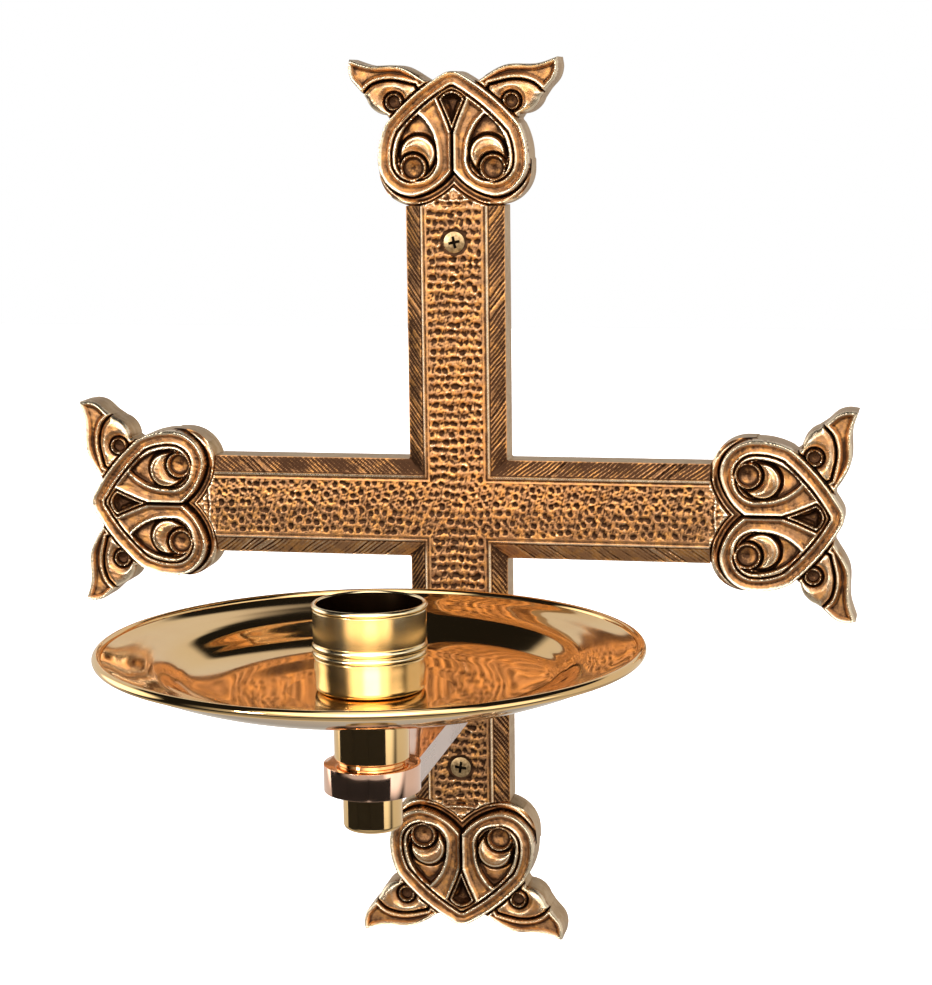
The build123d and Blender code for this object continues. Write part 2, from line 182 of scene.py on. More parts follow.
class Value:
    """A number inside a shader graph: Python operators on it add Math nodes."""

    def __init__(self, graph: "Graph", socket: bpy.types.NodeSocket) -> None:
        """Wraps an output socket of the graph."""
        self.graph = graph
        self.socket = socket

    def _math(self, operation: str, *terms: "Value | float") -> "Value":
        """The outcome of one Math node."""
        node = self.graph.add("ShaderNodeMath", {"operation": operation}, dict(enumerate(terms)))
        return Value(self.graph, node.outputs[0])

    def __add__(self, other: "Value | float") -> "Value":
        """self + other."""
        return self._math("ADD", self, other)

    def __sub__(self, other: "Value | float") -> "Value":
        """self - other."""
        return self._math("SUBTRACT", self, other)

    def __rsub__(self, other: "Value | float") -> "Value":
        """other - self."""
        return self._math("SUBTRACT", other, self)

    def __mul__(self, other: "Value | float") -> "Value":
        """self * other."""
        return self._math("MULTIPLY", self, other)

    __radd__ = __add__
    __rmul__ = __mul__

    def ramp(self, low: float, high: float) -> "Value":
        """0 below low, 1 above high, smooth between."""
        settings = {"interpolation_type": "SMOOTHSTEP"}
        node = self.graph.add("ShaderNodeMapRange", settings, {0: self, 1: low, 2: high})
        return Value(self.graph, node.outputs[0])


Colour = tuple[float, float, float]


class Graph:
    """A material's or the world's nodes, added one by one."""

    def __init__(self, owner: bpy.types.Material | bpy.types.World) -> None:
        """Clears the owner's nodes."""
        owner.use_nodes = True
        self.tree = owner.node_tree
        self.tree.nodes.clear()

    def add(self, kind: str, settings: dict | None = None, inputs: dict | None = None) -> bpy.types.Node:
        """Adds a node, sets it up, and feeds its sockets.

        Args:
            kind: the node's type.
            settings: its properties, which are set first.
            inputs: socket name or number to a value, a Value, or an output socket.

        Returns:
            The node.
        """
        node = self.tree.nodes.new(kind)
        for name, setting in (settings or {}).items():
            setattr(node, name, setting)
        for key, given in (inputs or {}).items():
            source = given.socket if isinstance(given, Value) else given
            if isinstance(source, bpy.types.NodeSocket):
                self.tree.links.new(source, node.inputs[key])
            elif isinstance(source, tuple) and len(source) == 3 and node.inputs[key].type == "RGBA":
                node.inputs[key].default_value = (*source, 1)
            else:
                node.inputs[key].default_value = source
        return node

    def noise(self, scale: float, detail: float = 3, stretch: Colour = (1, 1, 1)) -> Value:
        """Cloudy noise on Object coordinates, about 0 to 1; scale is in cycles per metre."""
        place = self.add("ShaderNodeTexCoord").outputs["Object"]
        place = self.add("ShaderNodeMapping", None, {"Vector": place, "Scale": stretch}).outputs[0]
        node = self.add("ShaderNodeTexNoise", None, {"Vector": place, "Scale": scale, "Detail": detail})
        return Value(self, node.outputs["Fac"])

    def attribute(self, name: str) -> Value:
        """What is stored on the mesh under a name; 0 where nothing is."""
        return Value(self, self.add("ShaderNodeAttribute", {"attribute_name": name}).outputs["Fac"])

    def blend(self, amount: Value, first: Colour | bpy.types.NodeSocket,
              second: Colour | bpy.types.NodeSocket) -> bpy.types.NodeSocket:
        """A colour between two colours."""
        node = self.add("ShaderNodeMix", {"data_type": "RGBA"}, {"Factor": amount, 6: first, 7: second})
        return node.outputs[2]

    def bump(self, height: Value, distance: float, strength: float) -> bpy.types.NodeSocket:
        """A normal roughened by a height, with the distance in metres."""
        inputs = {"Height": height, "Distance": distance, "Strength": strength}
        return self.add("ShaderNodeBump", None, inputs).outputs[0]

    def metal(self, **inputs: object) -> None:
        """Ends the graph in a metallic shader."""
        named = {name.replace("_", " "): given for name, given in inputs.items()}
        shader = self.add("ShaderNodeBsdfPrincipled", None, {"Metallic": 1.0, **named})
        self.add("ShaderNodeOutputMaterial", None, {"Surface": shader.outputs[0]})


# ---------------------------------------------------------------- finishes


@dataclass(frozen=True)
class AntiqueBronze:
    """Cast bronze, patinated dark in the hollows and rubbed bright on the ridges."""

    name: str = "antique_bronze"
    hollow: Colour = (0.052, 0.024, 0.012)
    body: Colour = (0.43, 0.215, 0.095)
    glint: Colour = (0.62, 0.29, 0.09)
    ridge: Colour = (0.93, 0.76, 0.53)
    side: Colour = (0.62, 0.45, 0.26)
    dull: Colour = (0.45, 0.29, 0.14)

    def make(self) -> bpy.types.Material:
        """The material: a stored attribute says how rubbed a place is, lowered on the cross's bevels by
        painted shade, and "plain" marks the sides.
        """
        material = bpy.data.materials.new(self.name)
        g = Graph(material)
        wear_and_painted_shade = g.attribute("wear_and_painted_shade")
        plain = g.attribute("plain")
        cloud = g.noise(60, 4)
        grain = g.noise(1500, 5)
        blotch = g.noise(240, 3)
        uneven = (cloud - 0.5) * 0.20 + (grain - 0.5) * 0.34 + (blotch - 0.5) * 0.22
        # The stored rubbing is real wear, and on the cross's bevels also painted shade and painted light.
        rubbed = wear_and_painted_shade * (1 - plain) + 0.45 * plain + uneven
        warm = g.blend(blotch.ramp(0.42, 0.66), self.body, self.glint)
        tone = g.blend(rubbed.ramp(0.10, 0.42), self.hollow, warm)
        tone = g.blend(rubbed.ramp(0.54, 0.95), tone, self.ridge)
        sand = g.blend((cloud + blotch).ramp(0.75, 1.25), self.side, self.dull)
        tone = g.blend(plain * 0.9, tone, sand)
        rough = 0.44 - 0.20 * rubbed.ramp(0.3, 0.85) + (grain - 0.5) * 0.20
        normal = g.bump(g.noise(2600, 3) + 0.8 * g.noise(700, 3), 0.00022, 0.5)
        g.metal(Base_Color=tone, Roughness=rough, Normal=normal)
        return material


@dataclass(frozen=True)
class PolishedBronze:
    """Bronze buffed to a mirror, with faint turning lines and a breath of tarnish."""

    name: str
    tone: Colour
    tarnish: Colour
    roughness: float = 0.06
    turned: bool = True
    buffed: Colour = (0.98, 0.82, 0.74)
    bore_shade_tone: Colour = (0.22, 0.12, 0.055)

    def make(self) -> bpy.types.Material:
        """The material."""
        material = bpy.data.materials.new(self.name)
        g = Graph(material)
        cloud = g.noise(28, 3)
        lines = g.noise(600, 2, (0.02, 0.02, 3.0) if self.turned else (1, 0.03, 1))
        flat = g.attribute("flat")
        tone = g.blend((cloud.ramp(0.35, 0.8)) * 0.5, self.tone, self.tarnish)
        tone = g.blend(flat, tone, self.buffed)
        # Painted shade: the faces inside the socket's bore are darkened.
        painted_bore_shade = g.attribute("painted_bore_shade")
        tone = g.blend(painted_bore_shade, tone, self.bore_shade_tone)
        rough = self.roughness + 0.05 * cloud.ramp(0.4, 0.8) + 0.03 * (lines - 0.5) + 0.20 * flat
        g.metal(Base_Color=tone, Roughness=rough, Normal=g.bump(lines + 4 * cloud, 0.00004, 0.06))
        return material


@dataclass(frozen=True)
class PlainMetal:
    """Turned or pressed hardware: plain brass or zinc plate, lightly marked."""

    name: str
    tone: Colour
    shade: Colour
    roughness: float = 0.3
    recess_shade_tone: Colour = (0.012, 0.008, 0.005)

    def make(self) -> bpy.types.Material:
        """The material."""
        material = bpy.data.materials.new(self.name)
        g = Graph(material)
        marks = g.noise(900, 4)
        # Painted shade: the faces of the screws' cross recess turn near black.
        painted_recess_shade = g.attribute("painted_recess_shade")
        tone = g.blend(marks.ramp(0.3, 0.75), self.shade, self.tone)
        tone = g.blend(painted_recess_shade, tone, self.recess_shade_tone)
        rough = self.roughness + 0.2 * (marks - 0.5) + 0.3 * painted_recess_shade
        g.metal(Base_Color=tone, Roughness=rough, Normal=g.bump(marks, 0.00005, 0.3))
        return material


# ---------------------------------------------------------------- mesh work


class Shade(Enum):
    """How sharp an edge may be before it is shaded as a crease."""

    SOFT = math.radians(55)
    CRISP = math.radians(28)


def pick_only(piece: bpy.types.Object) -> None:
    """Makes one object the active one and the only one selected."""
    if bpy.context.object and bpy.context.object.mode != "OBJECT":
        bpy.ops.object.mode_set(mode="OBJECT")
    bpy.ops.object.select_all(action="DESELECT")
    piece.select_set(True)
    bpy.context.view_layer.objects.active = piece


def apply_modifier(piece: bpy.types.Object, kind: str, **settings: object) -> None:
    """Adds a modifier to a piece and applies it."""
    pick_only(piece)
    modifier = piece.modifiers.new(kind.lower(), kind)
    for name, setting in settings.items():
        setattr(modifier, name, setting)
    bpy.ops.object.modifier_apply(modifier=modifier.name)


def cut(piece: bpy.types.Object, cutters: Iterable[bpy.types.Object], solver: str = "MANIFOLD") -> None:
    """Takes each cutter's shape out of the piece, and removes the cutter."""
    for cutter in list(cutters):
        apply_modifier(piece, "BOOLEAN", operation="DIFFERENCE", solver=solver, object=cutter)
        bpy.data.objects.remove(cutter)


def drill(centre: Vector, radius: float, length: float, toward: Vector, narrow: float | None = None,
          corners: int = 64) -> bpy.types.Object:
    """A closed cylinder or cone used as a cutter.

    Args:
        centre: middle of its first face, in millimetres.
        radius: radius at that face.
        length: how far it goes.
        toward: the way it goes.
        narrow: radius at its far end, if it tapers.
        corners: how many sides it has.

    Returns:
        The cutter.
    """
    turn = toward.to_track_quat("Z", "Y").to_euler()
    middle = (centre + toward.normalized() * length / 2) * MM
    end = radius if narrow is None else narrow
    bpy.ops.mesh.primitive_cone_add(vertices=corners, radius1=radius * MM, radius2=end * MM,
                                    depth=length * MM, location=middle, rotation=turn)
    tool = bpy.context.object
    bpy.ops.object.transform_apply()
    return tool


def block(low: Vector, high: Vector) -> bpy.types.Object:
    """A box between two corners, in millimetres."""
    bpy.ops.mesh.primitive_cube_add(size=1, location=(low + high) / 2 * MM, scale=(high - low) * MM)
    tool = bpy.context.object
    bpy.ops.object.transform_apply()
    return tool


def mark_faces(piece: bpy.types.Object, name: str, marked: Callable[[bpy.types.MeshPolygon], bool]) -> None:
    """Stores 1 on the faces that are marked and 0 on the others.

    Args:
        piece: the piece.
        name: the name it is stored under.
        marked: says whether a face is marked.
    """
    store = piece.data.attributes.new(name, "FLOAT", "FACE")
    store.data.foreach_set("value", [float(marked(face)) for face in piece.data.polygons])


def spun(name: str, axis: Vector, profile: Array, steps: int = 192) -> bpy.types.Object:
    """A turned piece: its profile spun once about an upright axis.

    Args:
        name: the piece's name.
        axis: a point on the axis, in millimetres.
        profile: points as (radius, height), from the axis or a closed ring.
        steps: how many facets go round.

    Returns:
        The piece, closed and with its faces outwards.
    """
    mesh = bpy.data.meshes.new(name)
    rows = [((axis.x + r) * MM, axis.y * MM, z * MM) for r, z in profile]
    mesh.from_pydata(rows, [(i, i + 1) for i in range(len(rows) - 1)], [])
    piece = bpy.data.objects.new(name, mesh)
    bpy.context.collection.objects.link(piece)
    pick_only(piece)
    bpy.ops.object.mode_set(mode="EDIT")
    bpy.ops.mesh.select_all(action="SELECT")
    bpy.ops.mesh.spin(steps=steps, angle=2 * math.pi, center=axis * MM, axis=(0, 0, 1))
    bpy.ops.mesh.select_all(action="SELECT")
    bpy.ops.mesh.remove_doubles(threshold=1e-6)
    bpy.ops.mesh.normals_make_consistent(inside=False)
    bpy.ops.object.mode_set(mode="OBJECT")
    return piece


def dress(piece: bpy.types.Object, material: bpy.types.Material, body: str,
          nodes: Sequence[str] = (), shade: Shade = Shade.CRISP) -> None:
    """Shades a finished piece, gives it its material, and fixes it to its body.

    Args:
        piece: the piece.
        material: its finish.
        body: the CAD body that it moves with.
        nodes: the CAD nodes that it stands for.
        shade: which edges stay sharp.
    """
    pick_only(piece)
    bpy.ops.object.shade_smooth_by_angle(angle=shade.value)
    piece.data.materials.clear()
    piece.data.materials.append(material)
    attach(piece, body)
    if nodes:
        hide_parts(*nodes)
    LOG.info("%s: %d faces, rides on %s", piece.name, len(piece.data.polygons), body)


# ---------------------------------------------------------------- carved castings


@dataclass
class Relief:
    """A casting whose front is a carved surface: a fine grid lifted by a height."""

    name: str
    pitch: float
    low: tuple[float, float]
    high: tuple[float, float]
    parts: list[Outline]
    height: Callable[[Array], Array]
    wear_reach: float = 1.3
    even_wear: float = 0.42
    fine_wear: float = 1.25
    broad_wear: float = 0.22
    rim_drop: float = 0.8
    placing: Matrix = field(default_factory=Matrix.Identity)
    # Extra darkening per point; on the cross it holds painted shade on the bevels.
    painted_shade_and_darkening: Callable[[Array], Array] = lambda p: np.zeros(len(p))

    def _edge(self, p: Array) -> tuple[Array, Array]:
        """Depth inside the joined outlines, and the nearest place on them for points outside."""
        depth = np.full(len(p), -np.inf)
        place = p.copy()
        for outline in self.parts:
            near, on = outline.nearest(p)
            signed = np.where(outline.holds(p), near, -near)
            better = signed > depth
            depth[better] = signed[better]
            place[better] = on[better]
        return depth, place

    def build(self) -> bpy.types.Object:
        """The closed casting: carved front, upright sides and flat back.

        Returns:
            The piece in its own plane: outline in X and Y, height along Z, in millimetres.
        """
        spans = [int(round((b - a) / self.pitch)) for a, b in zip(self.low, self.high)]
        bpy.ops.mesh.primitive_grid_add(x_subdivisions=spans[0], y_subdivisions=spans[1], size=2)
        piece = bpy.context.object
        piece.name = piece.data.name = self.name
        mesh = piece.data
        flat = self._read(mesh)[:, :2]
        low, high = np.array(self.low), np.array(self.high)
        flat = low + (flat + 1) / 2 * (high - low)
        depth, place = self._edge(flat)
        corners, _ = self._faces(mesh)
        keep = (depth[corners].reshape(-1, 4) > 0).any(axis=1)
        outside = depth < 0
        flat[outside] = place[outside]
        self._write(mesh, np.c_[flat, np.zeros(len(flat))])
        self._delete_faces(piece, ~keep)
        self._raise(piece)
        return piece

    def _delete_faces(self, piece: bpy.types.Object, unwanted: Array) -> None:
        """Deletes the chosen faces, with the points that only they use."""
        pick_only(piece)
        bpy.ops.object.mode_set(mode="EDIT")
        bpy.ops.mesh.select_mode(type="FACE")
        bpy.ops.mesh.select_all(action="DESELECT")
        bpy.ops.object.mode_set(mode="OBJECT")
        piece.data.polygons.foreach_set("select", unwanted)
        bpy.ops.object.mode_set(mode="EDIT")
        bpy.ops.mesh.delete(type="FACE")
        bpy.ops.object.mode_set(mode="OBJECT")

    def _raise(self, piece: bpy.types.Object) -> None:
        """Extrudes the flat sheet into a slab, closes its back, and lifts its front."""
        bpy.ops.object.mode_set(mode="EDIT")
        bpy.ops.mesh.select_all(action="SELECT")
        bpy.ops.mesh.extrude_region_move(TRANSFORM_OT_translate={"value": (0, 0, 1)})
        bpy.ops.object.mode_set(mode="OBJECT")
        mesh = piece.data
        heights = self._read(mesh)[:, 2]
        corners, starts = self._faces(mesh)
        lowest = np.maximum.reduceat(heights[corners], starts) < 0.5
        if lowest.any():
            self._delete_faces(piece, lowest)
        bpy.ops.object.mode_set(mode="EDIT")
        bpy.ops.mesh.select_mode(type="VERT")
        bpy.ops.mesh.select_all(action="DESELECT")
        bpy.ops.mesh.select_non_manifold()
        bpy.ops.mesh.edge_face_add()
        bpy.ops.mesh.select_all(action="SELECT")
        bpy.ops.mesh.normals_make_consistent(inside=False)
        bpy.ops.object.mode_set(mode="OBJECT")
        points = self._read(mesh)
        front = points[:, 2] > 0.5
        points[front, 2] = self.height(points[front, :2])
        self._write(mesh, points * MM)

    def weather(self, piece: bpy.types.Object) -> None:
        """Stores how rubbed each point is, ridges near 1 and hollows near 0, less an extra darkening that on
        the cross holds painted shade on the bevels, and which faces are plain.

        Args:
            piece: the casting, still in its own plane.
        """
        points = self._read(piece.data) / MM
        low, high = np.array(self.low), np.array(self.high)
        spans = np.round((high - low) / self.pitch).astype(int)
        xs, ys = (np.linspace(a, b, n) for a, b, n in zip(low, high, spans))
        mesh_points = np.stack(np.meshgrid(xs, ys, indexing="ij"), -1).reshape(-1, 2)
        heights = self.height(mesh_points).reshape(len(xs), len(ys))
        depth, _ = self._edge(mesh_points)
        lowered = np.where(depth.reshape(heights.shape) < 0, heights - self.rim_drop, heights)
        wide = soften(lowered, 2.2 * self.wear_reach / self.pitch)
        close = soften(lowered, 0.6 * self.wear_reach / self.pitch)
        relief = self.even_wear + self.fine_wear * (heights - close) + self.broad_wear * (heights - wide)
        # The extra darkening goes in too; on the cross it is painted shade and painted light on the bevels.
        relief -= self.painted_shade_and_darkening(mesh_points).reshape(heights.shape)
        cells = np.round((points[:, :2] - low) / (high - low) * (spans - 1)).astype(int)
        cells = np.clip(cells, 0, spans - 1)
        wear_and_painted_shade = relief[cells[:, 0], cells[:, 1]]
        store = piece.data.attributes.new("wear_and_painted_shade", "FLOAT", "POINT")
        store.data.foreach_set("value", np.clip(wear_and_painted_shade, 0, 1).astype(np.float32))
        corners, starts = self._faces(piece.data)
        lowest = np.minimum.reduceat(points[corners, 2], starts)
        plain = piece.data.attributes.new("plain", "FLOAT", "FACE")
        plain.data.foreach_set("value", (lowest < heights.min() - 1.0).astype(np.float32))

    def place(self, piece: bpy.types.Object) -> None:
        """Moves the piece's points from its own plane to its place on the wall."""
        piece.data.transform(self.placing)
        piece.data.update()

    @staticmethod
    def _read(mesh: bpy.types.Mesh) -> Array:
        """The mesh's points."""
        points = np.zeros(3 * len(mesh.vertices))
        mesh.vertices.foreach_get("co", points)
        return points.reshape(-1, 3)

    @staticmethod
    def _faces(mesh: bpy.types.Mesh) -> tuple[Array, Array]:
        """The point at each face corner, and where each face's corners start."""
        corners = np.zeros(len(mesh.loops), int)
        mesh.loops.foreach_get("vertex_index", corners)
        starts = np.zeros(len(mesh.polygons), int)
        mesh.polygons.foreach_get("loop_start", starts)
        return corners, starts

    @staticmethod
    def _write(mesh: bpy.types.Mesh, points: Array) -> None:
        """Puts the mesh's points back."""
        mesh.vertices.foreach_set("co", points.ravel())
        mesh.update()


def wall_place(outward: Vector, reach: float) -> Matrix:
    """The matrix from a casting's own plane to the wall: its Y points outwards, its Z to the room."""
    front = Vector((0, -1, 0))
    across = outward.cross(front)
    turn = Matrix((across, outward, front)).transposed().to_4x4()
    return Matrix.Translation(outward * reach * MM) @ turn


def pits(p: Array, pitch: tuple[float, float], radius: float, seed: int) -> Array:
    """Hollows struck by a round punch in uneven rows.

    Args:
        p: points, n by 2.
        pitch: spacing across and along.
        radius: the punch's radius.
        seed: seed of the unevenness.

    Returns:
        0 on the untouched metal, down to about -1 in the middle of a blow, and a little over 0 on the lips.
    """
    random = np.random.default_rng(seed)
    size = 256
    shift = random.uniform(-1, 1, (size, size, 2)) * np.array([0.34, 0.30])
    force = random.uniform(0.25, 1.0, (size, size))
    cell = np.floor(p / np.array(pitch)).astype(int)
    out = np.zeros(len(p))
    for i in (-1, 0, 1):
        for j in (-1, 0, 1):
            n = cell + [i, j]
            stagger = np.c_[0.25 * (n[:, 1] % 2), np.zeros(len(p))]
            centre = (n + 0.5 + stagger + shift[n[:, 0] % size, n[:, 1] % size]) * np.array(pitch)
            push = force[n[:, 0] % size, n[:, 1] % size]
            d = np.hypot(*(p - centre).T) / (radius * (0.75 + 0.35 * push))
            bowl = -push * (1 - ease(d, 0.35, 1.0))
            lip = 0.22 * push * ridge(d, 1.12, 0.3)
            out = np.where(np.abs(bowl) > np.abs(out), bowl, out) + np.where(bowl == 0, lip, 0)
    return out


def ripple(p: Array, scale: float, seed: int) -> Array:
    """Smooth seeded unevenness, about -1 to 1, with features about scale across."""
    random = np.random.default_rng(seed)
    out = np.zeros(len(p))
    for _ in range(7):
        angle, phase = random.uniform(0, 2 * math.pi, 2)
        wave = 2 * math.pi / (scale * random.uniform(0.7, 1.8))
        out += np.sin(wave * (p @ np.array([math.cos(angle), math.sin(angle)])) + phase)
    return out / 3.5


# ---------------------------------------------------------------- the cross


@dataclass
class WallCross:
    """The cast cross: a hammered band between chiselled bevels, hollow behind."""

    placing: Matrix = field(default_factory=lambda: wall_place(Vector((0, 0, 1)), 0))
    pitch: float = 0.5
    bevel_width: float = 7.0
    edge_height: float = 13.0
    field_height: float = 16.3
    fillet_width: float = 2.2
    stroke_pitch: float = 2.3
    stroke_lean: float = 1.35
    stroke_depth: float = 0.95
    punch_pitch: tuple[float, float] = (3.75, 3.85)
    punch_radius: float = 1.5
    punch_depth: float = 0.62
    cast_wall: float = 5.0
    hollow_depth: float = 10.5
    pad_radius: float = 15.0
    boss_radius: float = 8.1
    tongue: tuple[float, float, float] = (24.0, 30.0, 7.0)
    bar_width: float = 42.0
    screw_span: float = 226.0
    bolt_head: float = 4.62
    foot_clear: tuple[float, float] = (16.5, 5.4)
    screw_hole: tuple[float, float] = (2.7, 4.9)
    bolt_hole: float = 2.8
    finial_screw: tuple[float, float, float] = (4.05, 2.0, 0.5)
    finial_screws: tuple[float, float] = (4.0, 18.0)

    def __post_init__(self) -> None:
        """Reads the bars' lengths and the places of the screws, the arm's bolts and the arm from the frame.
        """
        screws_low, screws_high = node_box("wall_screws")
        self.screw_z = screws_high.z - (screws_high.z - screws_low.z - self.screw_span) / 2
        low, high = node_box("wall_cross")
        self.bar = (high.x - self.tongue[1], high.z - self.tongue[1])
        self.half = self.bar_width / 2
        _, bolts = node_box("arm_bolts")
        self.bolt_x = bolts.x - self.bolt_head
        low, high = node_box("bracket_arm")
        self.arm_z = (low.z + high.z) / 2

    def height(self, p: Array) -> Array:
        """Height of the carved front at points of the wall plane, in millimetres."""
        across, along = self._along(p)
        depth = self.half - across
        return self._bevel(p, depth, along) + self._band(p, depth)

    def _along(self, p: Array) -> tuple[Array, Array]:
        """Distance from a bar's middle line, and distance along the bar from the crossing."""
        x, z = np.abs(p.T)
        upright = x < z
        return np.where(upright, x, z), np.where(upright, z, x)

    def _bevel(self, p: Array, depth: Array, along: Array) -> Array:
        """The sloping borders with their leaning chisel strokes, and the raised line inside them."""
        rise = np.clip(depth / self.bevel_width, 0, 1)
        base = self.edge_height + (self.field_height - self.edge_height) * rise
        wander = 0.45 * ripple(p, 16, 3)
        stroke = (along + self.stroke_lean * depth + wander) / self.stroke_pitch
        number = np.floor(stroke).astype(int)
        force = np.random.default_rng(8).uniform(0.1, 1.0, 512)[number % 512]
        scoop = force * (1 - np.abs(2 * (stroke - number) - 1) ** 1.4)
        inside = ease(depth, 0.1, 0.9) * (1 - ease(depth, self.bevel_width - 1.1, self.bevel_width - 0.2))
        low, high = self.bevel_width + 0.5, self.bevel_width + self.fillet_width
        lines = 0.45 * ridge(depth, low, 0.75) + 0.35 * ridge(depth, high, 0.75)
        groove = 0.55 * ridge(depth, self.bevel_width - 0.3, 0.6)
        return base - self.stroke_depth * scoop * inside + lines - groove

    def _band(self, p: Array, depth: Array) -> Array:
        """What the punch did to the flat band, kept clear of the arm's foot and the screws."""
        start = self.bevel_width + self.fillet_width
        struck = ease(depth, start + 0.1, start + 1.0)
        for z in (self.screw_z, -self.screw_z):
            struck = struck * ease(np.hypot(p[:, 0], p[:, 1] - z), 4.9, 6.2)
        foot = (np.abs(p[:, 0]) < self.foot_clear[0]) & (np.abs(p[:, 1] - self.arm_z) < self.foot_clear[1])
        struck = np.where(foot, 0, struck)
        place = p + 0.3 * np.c_[ripple(p, 9, 5), ripple(p, 8, 6)]
        blows = pits(place, self.punch_pitch, self.punch_radius, 11)
        rough = 0.13 * ripple(p, 2.2, 7) + 0.11 * ripple(p, 1.3, 8)
        upright = ease(np.abs(p[:, 1]) - np.abs(p[:, 0]), 0, 6)
        rows = 0.14 * upright * np.cos(2 * math.pi * place[:, 1] / self.punch_pitch[1])
        return struck * (0.2 + self.punch_depth * blows + rough + rows) + 0.06 * ripple(p, 14, 9)

    def painted_shade_and_darkening(self, p: Array) -> Array:
        """How much darker the colour lies: a little everywhere, a ring round each screw, and painted shade on
        the bevels, a little on the upright's and most on the crossbar's upper one, while the crossbar's lower
        bevel is left lighter, as painted light.
        """
        across, _ = self._along(p)
        upright = np.abs(p[:, 0]) < np.abs(p[:, 1])
        # Painted shade on the bevels: most on the crossbar's upper bevel, a little on the upright's; painted
        # light on the crossbar's lower bevel.
        side = np.where(upright, np.where(p[:, 0] < 0, 0.09, 0.11), np.where(p[:, 1] > 0, 0.19, -0.20))
        dark = 0.18 + side * ease(across, self.half - self.bevel_width, self.half - self.bevel_width + 0.8)
        for z in (self.screw_z, -self.screw_z):
            dark = dark + 0.6 * ridge(np.hypot(p[:, 0], p[:, 1] - z), 5.2, 0.9)
        return dark

    def outlines(self) -> list[Outline]:
        """The two crossed bars."""
        side, up, half = *self.bar, self.half
        bars = [((-half, -up), (half, up)), ((-side, -half), (side, half))]
        return [Outline(np.array([a, (b[0], a[1]), b, (a[0], b[1])])) for a, b in bars]

    def _hollow(self) -> bpy.types.Object:
        """The shape of the hollow back, round its pad and bosses."""
        inner = self.half - self.cast_wall
        side, up = (reach - self.cast_wall for reach in self.bar)
        tool = block(Vector((-inner, -up, -1)), Vector((inner, up, self.hollow_depth)))
        across = block(Vector((-side, -inner, -1)), Vector((side, inner, self.hollow_depth)))
        apply_modifier(tool, "BOOLEAN", operation="UNION", solver="MANIFOLD", object=across)
        bpy.data.objects.remove(across)
        toward = Vector((0, 0, 1))
        posts = [drill(Vector((0, 0, -2)), self.pad_radius, 20, toward)]
        for z in (self.screw_z, -self.screw_z):
            posts.append(drill(Vector((0, z, -2)), self.boss_radius, 20, toward))
        cut(tool, posts)
        return tool

    def _holes(self) -> list[bpy.types.Object]:
        """The countersunk screw holes and the two holes of the arm's bolts."""
        toward = Vector((0, 0, 1))
        shank, mouth = self.screw_hole
        tools = []
        for z in (self.screw_z, -self.screw_z):
            tools.append(drill(Vector((0, z, -1)), shank, 30, toward))
            low = self.field_height + 0.2 - mouth
            tools.append(drill(Vector((0, z, low)), 0.05, mouth, toward, narrow=mouth))
            tools.append(drill(Vector((0, z, self.field_height + 0.1)), mouth, 3, toward))
        for x in (-self.bolt_x, self.bolt_x):
            tools.append(drill(Vector((x, self.arm_z, 5)), self.bolt_hole, 30, toward, corners=32))
        return tools

    def build(self, finish: bpy.types.Material) -> bpy.types.Object:
        """Makes the cross and dresses it.

        Args:
            finish: its material.

        Returns:
            The piece.
        """
        side, up = self.bar
        # The relief takes the cross's painted shade for its bevels.
        relief = Relief("carved_cross", self.pitch, (-side, -up), (side, up), self.outlines(), self.height,
                        placing=self.placing, painted_shade_and_darkening=self.painted_shade_and_darkening)
        piece = relief.build()
        cut(piece, [self._hollow(), *self._holes()])
        self._add_tongues(piece)
        relief.weather(piece)
        relief.place(piece)
        dress(piece, finish, "bracket", ["wall_cross"], Shade.SOFT)
        return piece

    def _add_tongues(self, piece: bpy.types.Object) -> None:
        """Joins on the tongue that each finial laps over."""
        width, length, high = self.tongue
        for reach, axis in ((self.bar[1], 1), (-self.bar[1], 1), (self.bar[0], 0), (-self.bar[0], 0)):
            ends = sorted((reach - math.copysign(0.5, reach), reach + math.copysign(length, reach)))
            low, top = [-width / 2, -width / 2, 0.0], [width / 2, width / 2, high]
            low[axis], top[axis] = ends
            tongue = block(Vector(low), Vector(top))
            apply_modifier(piece, "BOOLEAN", operation="UNION", solver="MANIFOLD", object=tongue)
            bpy.data.objects.remove(tongue)
        cut(piece, self._finial_screw_holes())

    def _finial_screw_holes(self) -> list[bpy.types.Object]:
        """The countersunk holes through the tongues for the finials' screws."""
        _, far = node_box("finial_screws")
        toward, (head, hole, land) = Vector((0, 0, 1)), self.finial_screw
        tools = []
        tips = [Vector(tip) for tip in ((0, far.z, 0), (0, -far.z, 0), (far.x, 0, 0), (-far.x, 0, 0))]
        for tip in tips:
            for back in self.finial_screws:
                spot = tip - tip.normalized() * back
                tools.append(drill(spot - toward, head, 1 + land, toward))
                tools.append(drill(spot + toward * (land - 0.01), head, head - hole, toward, narrow=hole))
                tools.append(drill(spot - toward, hole, 10, toward, corners=32))
        return tools


# ---------------------------------------------------------------- the finials


